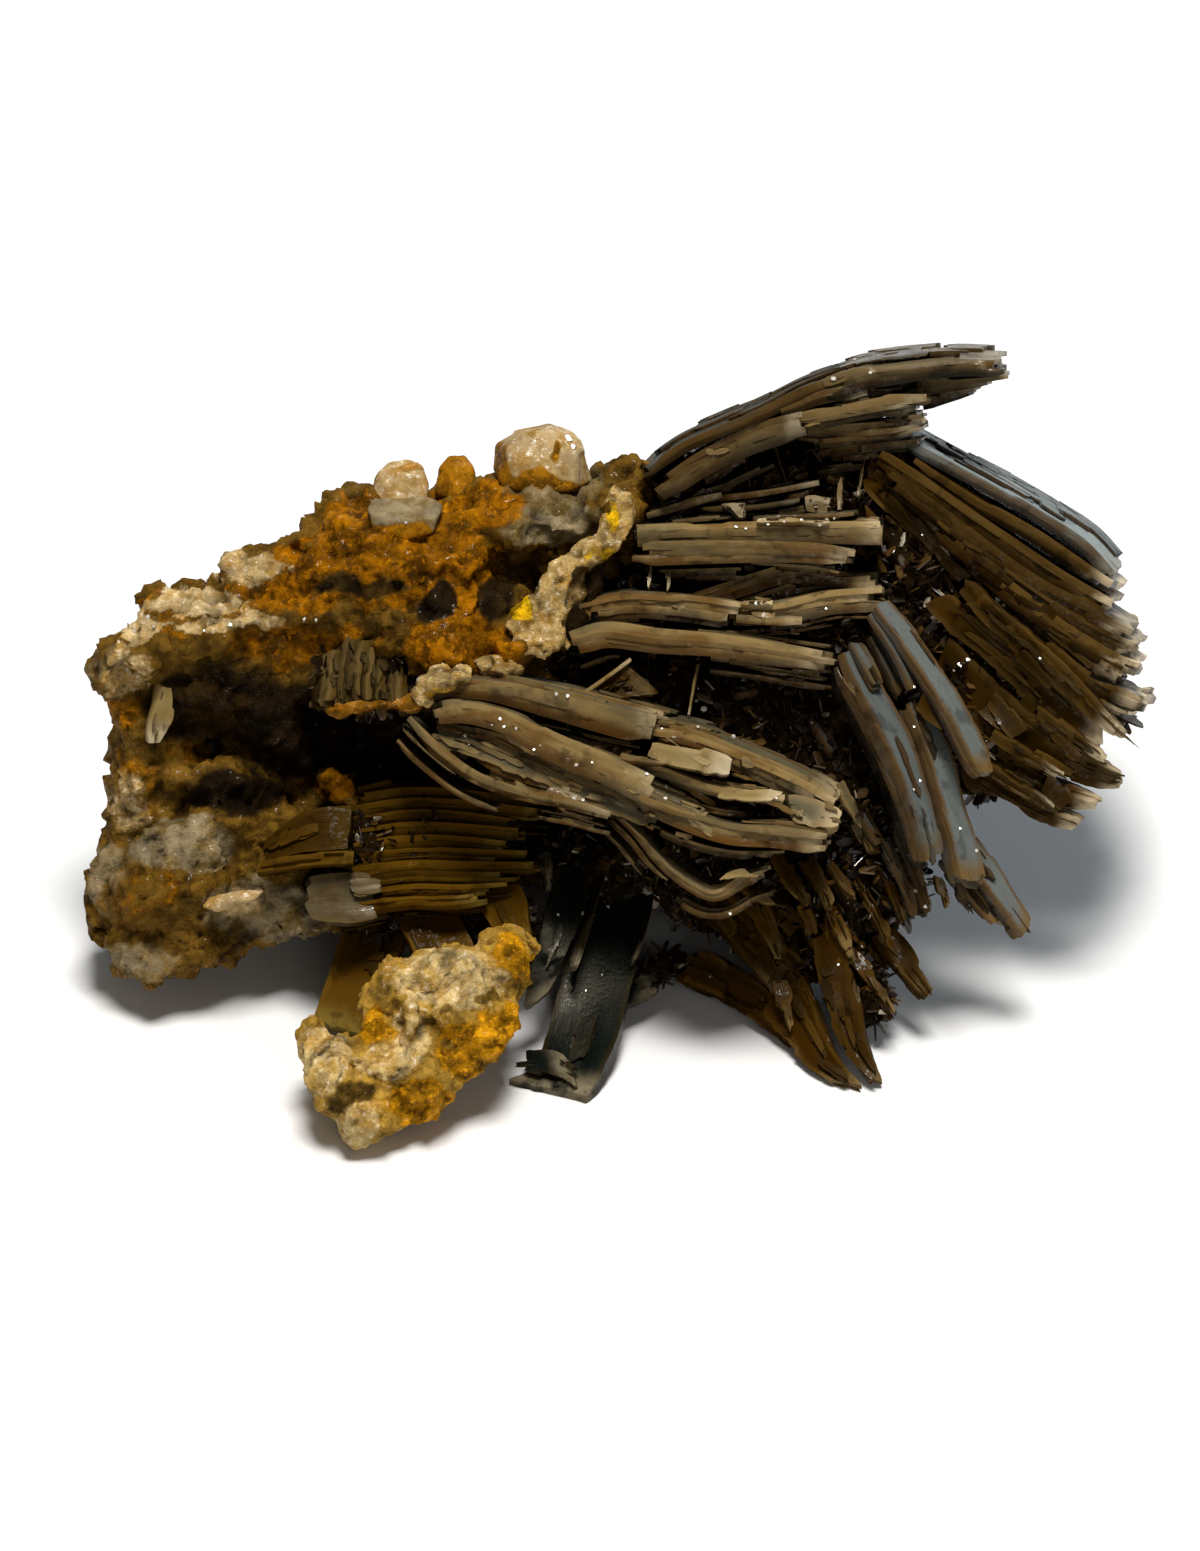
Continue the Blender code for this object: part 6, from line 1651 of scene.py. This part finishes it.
for (name, zones), (finish, slot) in zip(SHARDS.items(), SHARD_FINISHES):
    shape = Shape()
    for centre, half, heading, count, (length, width), stray in zones:
        for k in range(count):
            x, y = centre + rng.uniform(-1, 1, 2) * half
            turn = math.radians(heading + rng.normal(0, stray))
            way = np.array((math.cos(turn), math.sin(turn))) * length * rng.uniform(0.5, 1.4)
            side = np.array((-way[1], way[0])) / np.linalg.norm(way) * width * rng.uniform(0.5, 1.5)
            spots = [(x, y) + way * a + side * b for a, b in CORNERS]
            outs = np.array([touch(*spot)[2] for spot in spots])
            if outs.min() < DEEPEST or np.ptp(outs) > UNEVEN:
                continue
            outs = np.maximum(outs, outs.max() - SUNK) + 0.1
            ends = [(*spot, out) for spot, out in zip(spots, outs)]
            plate(shape, ends[:2], ends[2:], rng.uniform(0.35, 1.0, 2), 700 + k, edge_on=False,
                  ragged=0.7, fray=0.25, layers=1, main=rng.uniform(0.2, 1.3), plain=9)
    shape.piece(name, finish, slot)

# %% [markdown]
# ## Clear chips
# Tiny clear cleavage chips stick to the books and glint. A glint is only seen if the chip is tilted
# halfway between the eye and the lamp, so each six-sided chip is turned that way, with a little play. The
# table gives station across and down, and size in millimetres.

# %% Chips
GLINTS = [
    (83.3, 37.8, 1.0), (85.5, 35.9, 0.8), (87.5, 36.4, 1.0), (87.0, 37.2, 0.7), (73.6, 52.6, 0.5),
    (74.6, 52.8, 0.5), (76.8, 52.3, 0.6), (78.4, 52.1, 0.5), (80.2, 51.9, 0.6), (82.0, 52.4, 0.7),
    (83.4, 51.8, 0.5), (75.6, 60.2, 0.8), (74.4, 60.0, 0.5), (82.6, 60.8, 0.5), (98.0, 58.2, 0.7),
    (99.8, 59.8, 1.0), (100.4, 60.4, 0.6), (96.0, 66.4, 0.9), (96.8, 65.9, 0.7), (95.4, 67.0, 0.5),
    (98.5, 66.3, 0.4), (104.0, 65.8, 0.5), (93.4, 56.0, 0.4), (92.2, 53.4, 0.4), (50.0, 71.8, 0.8),
    (50.4, 72.6, 0.5), (51.6, 72.8, 0.6), (49.2, 72.4, 0.4), (46.5, 73.5, 0.7), (46.9, 74.4, 0.4),
    (53.4, 74.9, 0.5), (57.6, 76.4, 0.7), (59.2, 76.2, 0.5), (58.3, 79.9, 0.8), (64.7, 77.3, 0.6),
    (66.6, 78.6, 0.7), (66.5, 79.8, 0.8), (55.6, 69.3, 0.8), (56.8, 69.5, 0.8), (66.4, 71.4, 0.7),
    (66.2, 72.8, 0.5), (69.8, 72.6, 0.6), (73.4, 73.6, 0.9), (77.6, 79.6, 0.7), (70.4, 70.8, 1.3),
    (69.6, 70.0, 0.7), (71.2, 70.2, 0.5), (69.8, 68.8, 0.4), (91.4, 68.6, 0.6), (90.6, 69.2, 0.6),
    (91.4, 72.6, 0.6), (91.4, 78.9, 0.5), (92.0, 78.0, 0.5), (96.0, 82.8, 0.5), (97.6, 85.0, 0.8),
    (92.6, 90.6, 0.9), (91.6, 89.0, 0.7), (89.4, 91.8, 0.6), (81.2, 72.2, 0.5), (81.0, 74.6, 0.4),
    (73.0, 91.3, 0.6), (81.7, 91.5, 0.7), (60.6, 87.8, 0.5), (62.6, 87.4, 0.5), (64.6, 86.6, 0.5),
    (60.8, 90.6, 0.6), (86.2, 94.6, 0.5), (83.8, 96.4, 0.5), (67.6, 96.4, 0.6), (71.0, 97.6, 0.5),
    (55.8, 91.4, 0.5), (58.6, 99.0, 0.4), (60.2, 97.4, 0.3), (40.6, 52.2, 0.6), (56.8, 43.8, 1.5),
    (57.3, 44.6, 1.0), (14.8, 61.6, 0.9), (15.4, 62.6, 0.7), (13.4, 63.0, 0.7), (30.4, 61.8, 1.0),
    (31.6, 61.9, 0.8), (23.0, 62.4, 0.7), (20.4, 63.0, 0.6),
]
LAMP = (0.06, -0.14, 1.5)  # the large light, in metres
CHIP = 0.62  # share of the size in the table
rng = np.random.default_rng(5)
ring = np.array([(math.cos(a), math.sin(a)) for a in np.arange(6) * math.tau / 6])
points, faces = [], []
for x, y, size in GLINTS:
    at, way, _ = touch(x, y)
    size *= CHIP
    lamp = np.array(LAMP) - at
    normal = lamp / np.linalg.norm(lamp) - way
    normal = normal / np.linalg.norm(normal) + rng.normal(0, 0.09, 3)
    side = np.cross(normal, rng.normal(0, 1, 3))
    side /= np.linalg.norm(side)
    other = np.cross(normal, side)
    spokes = ring * rng.uniform(0.55, 1.1, (6, 1))
    flat = spokes[:, :1] * side + spokes[:, 1:] * other
    start = len(points)
    at = at - way * 0.1 * MM
    for depth in (0, 2):
        points += [at + (p * size * 0.5 - normal * depth * size * 0.25) * MM for p in flat]
    faces += [[start + k for k in range(6)], [start + 11 - k for k in range(6)]]
    faces += [[start + k, start + 6 + k, start + 6 + (k + 1) % 6, start + (k + 1) % 6] for k in range(6)]
mesh = bpy.data.meshes.new("chips")
mesh.from_pydata(boxed(np.array(points)).tolist(), [], faces)
register("clear_chips", mesh, chip_finish, (), 20)

# %% [markdown]
# ## Stage
# A pale floor under one large soft light, above and a little in front, as on a display table. A weak cool
# window behind lights the edges of the sheets, and a weaker warm fill keeps the front from going black.
# The eye is where the sight lines start.

# %% Floor and lights
scene.view_settings.view_transform = "Standard"


def area_light(name, at, size, watts, colour, aim=(0, 0, 0.02)):
    """A soft square light at a place in metres, pointing at another."""
    data = bpy.data.lights.new(name, "AREA")
    data.size, data.energy, data.color = size, watts, colour
    lamp = bpy.data.objects.new(name, data)
    lamp.location = at
    lamp.rotation_mode = "QUATERNION"
    lamp.rotation_quaternion = (Vector(aim) - Vector(at)).to_track_quat("-Z", "Y")
    scene.collection.objects.link(lamp)


FLOOR = 3  # metres from the middle to its edge
floor_mesh = bpy.data.meshes.new("floor")
corners = [(-FLOOR, -FLOOR, 0), (FLOOR, -FLOOR, 0), (FLOOR, FLOOR, 0), (-FLOOR, FLOOR, 0)]
floor_mesh.from_pydata(corners, [], [(0, 1, 2, 3)])
floor = bpy.data.objects.new("floor", floor_mesh)
scene.collection.objects.link(floor)
floor_mesh.materials.append(Finish("pale_floor", Roughness=0.9, Base_Color=(0.86, 0.86, 0.85, 1)).mat)
floor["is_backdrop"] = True

area_light("overhead", LAMP, 0.5, 27.0, (1.0, 0.98, 0.95))
area_light("sky_window", (0.35, 1.0, 0.75), 0.7, 3.6, (0.66, 0.83, 1.0))
area_light("front_fill", (0.3, -1.0, 0.45), 0.5, 1.2, (1.0, 0.96, 0.90), aim=(0, 0, 0.03))
world = bpy.data.worlds.new("studio")
scene.world = world
world.use_nodes = True
world.node_tree.nodes["Background"].inputs["Color"].default_value = (1.0, 1.0, 1.0, 1)
world.node_tree.nodes["Background"].inputs["Strength"].default_value = 0.09
print("lights", [light.name for light in bpy.data.lights])

# %% Camera
VIEW_HEIGHT = 155.1  # millimetres of the show face that fill the frame
lens = bpy.data.cameras.new("camera")
lens.sensor_width, lens.lens = 36, 36 * SIGHT / VIEW_HEIGHT
lens.clip_start = 0.01
camera = bpy.data.objects.new("camera", lens)
camera.location = Vector(OUTWARD * SIGHT * MM) + Vector(datum)
camera.rotation_euler = (math.pi / 2 - LEAN, 0, 0)
scene.collection.objects.link(camera)
scene.camera = camera
print("camera at", [round(v, 3) for v in camera.location], "lens", round(lens.lens, 1), "mm")

# %% [markdown]
# ## Size and finish
# Points were kept inside the box of the solid model as they were made; both boxes are printed side by
# side. The finished specimen must be no bigger than its solid model.

# %% Size and finish
size = {"cad": [list(c) for c in CAD_BOX], "visual": [list(c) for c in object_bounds()]}
print(size)
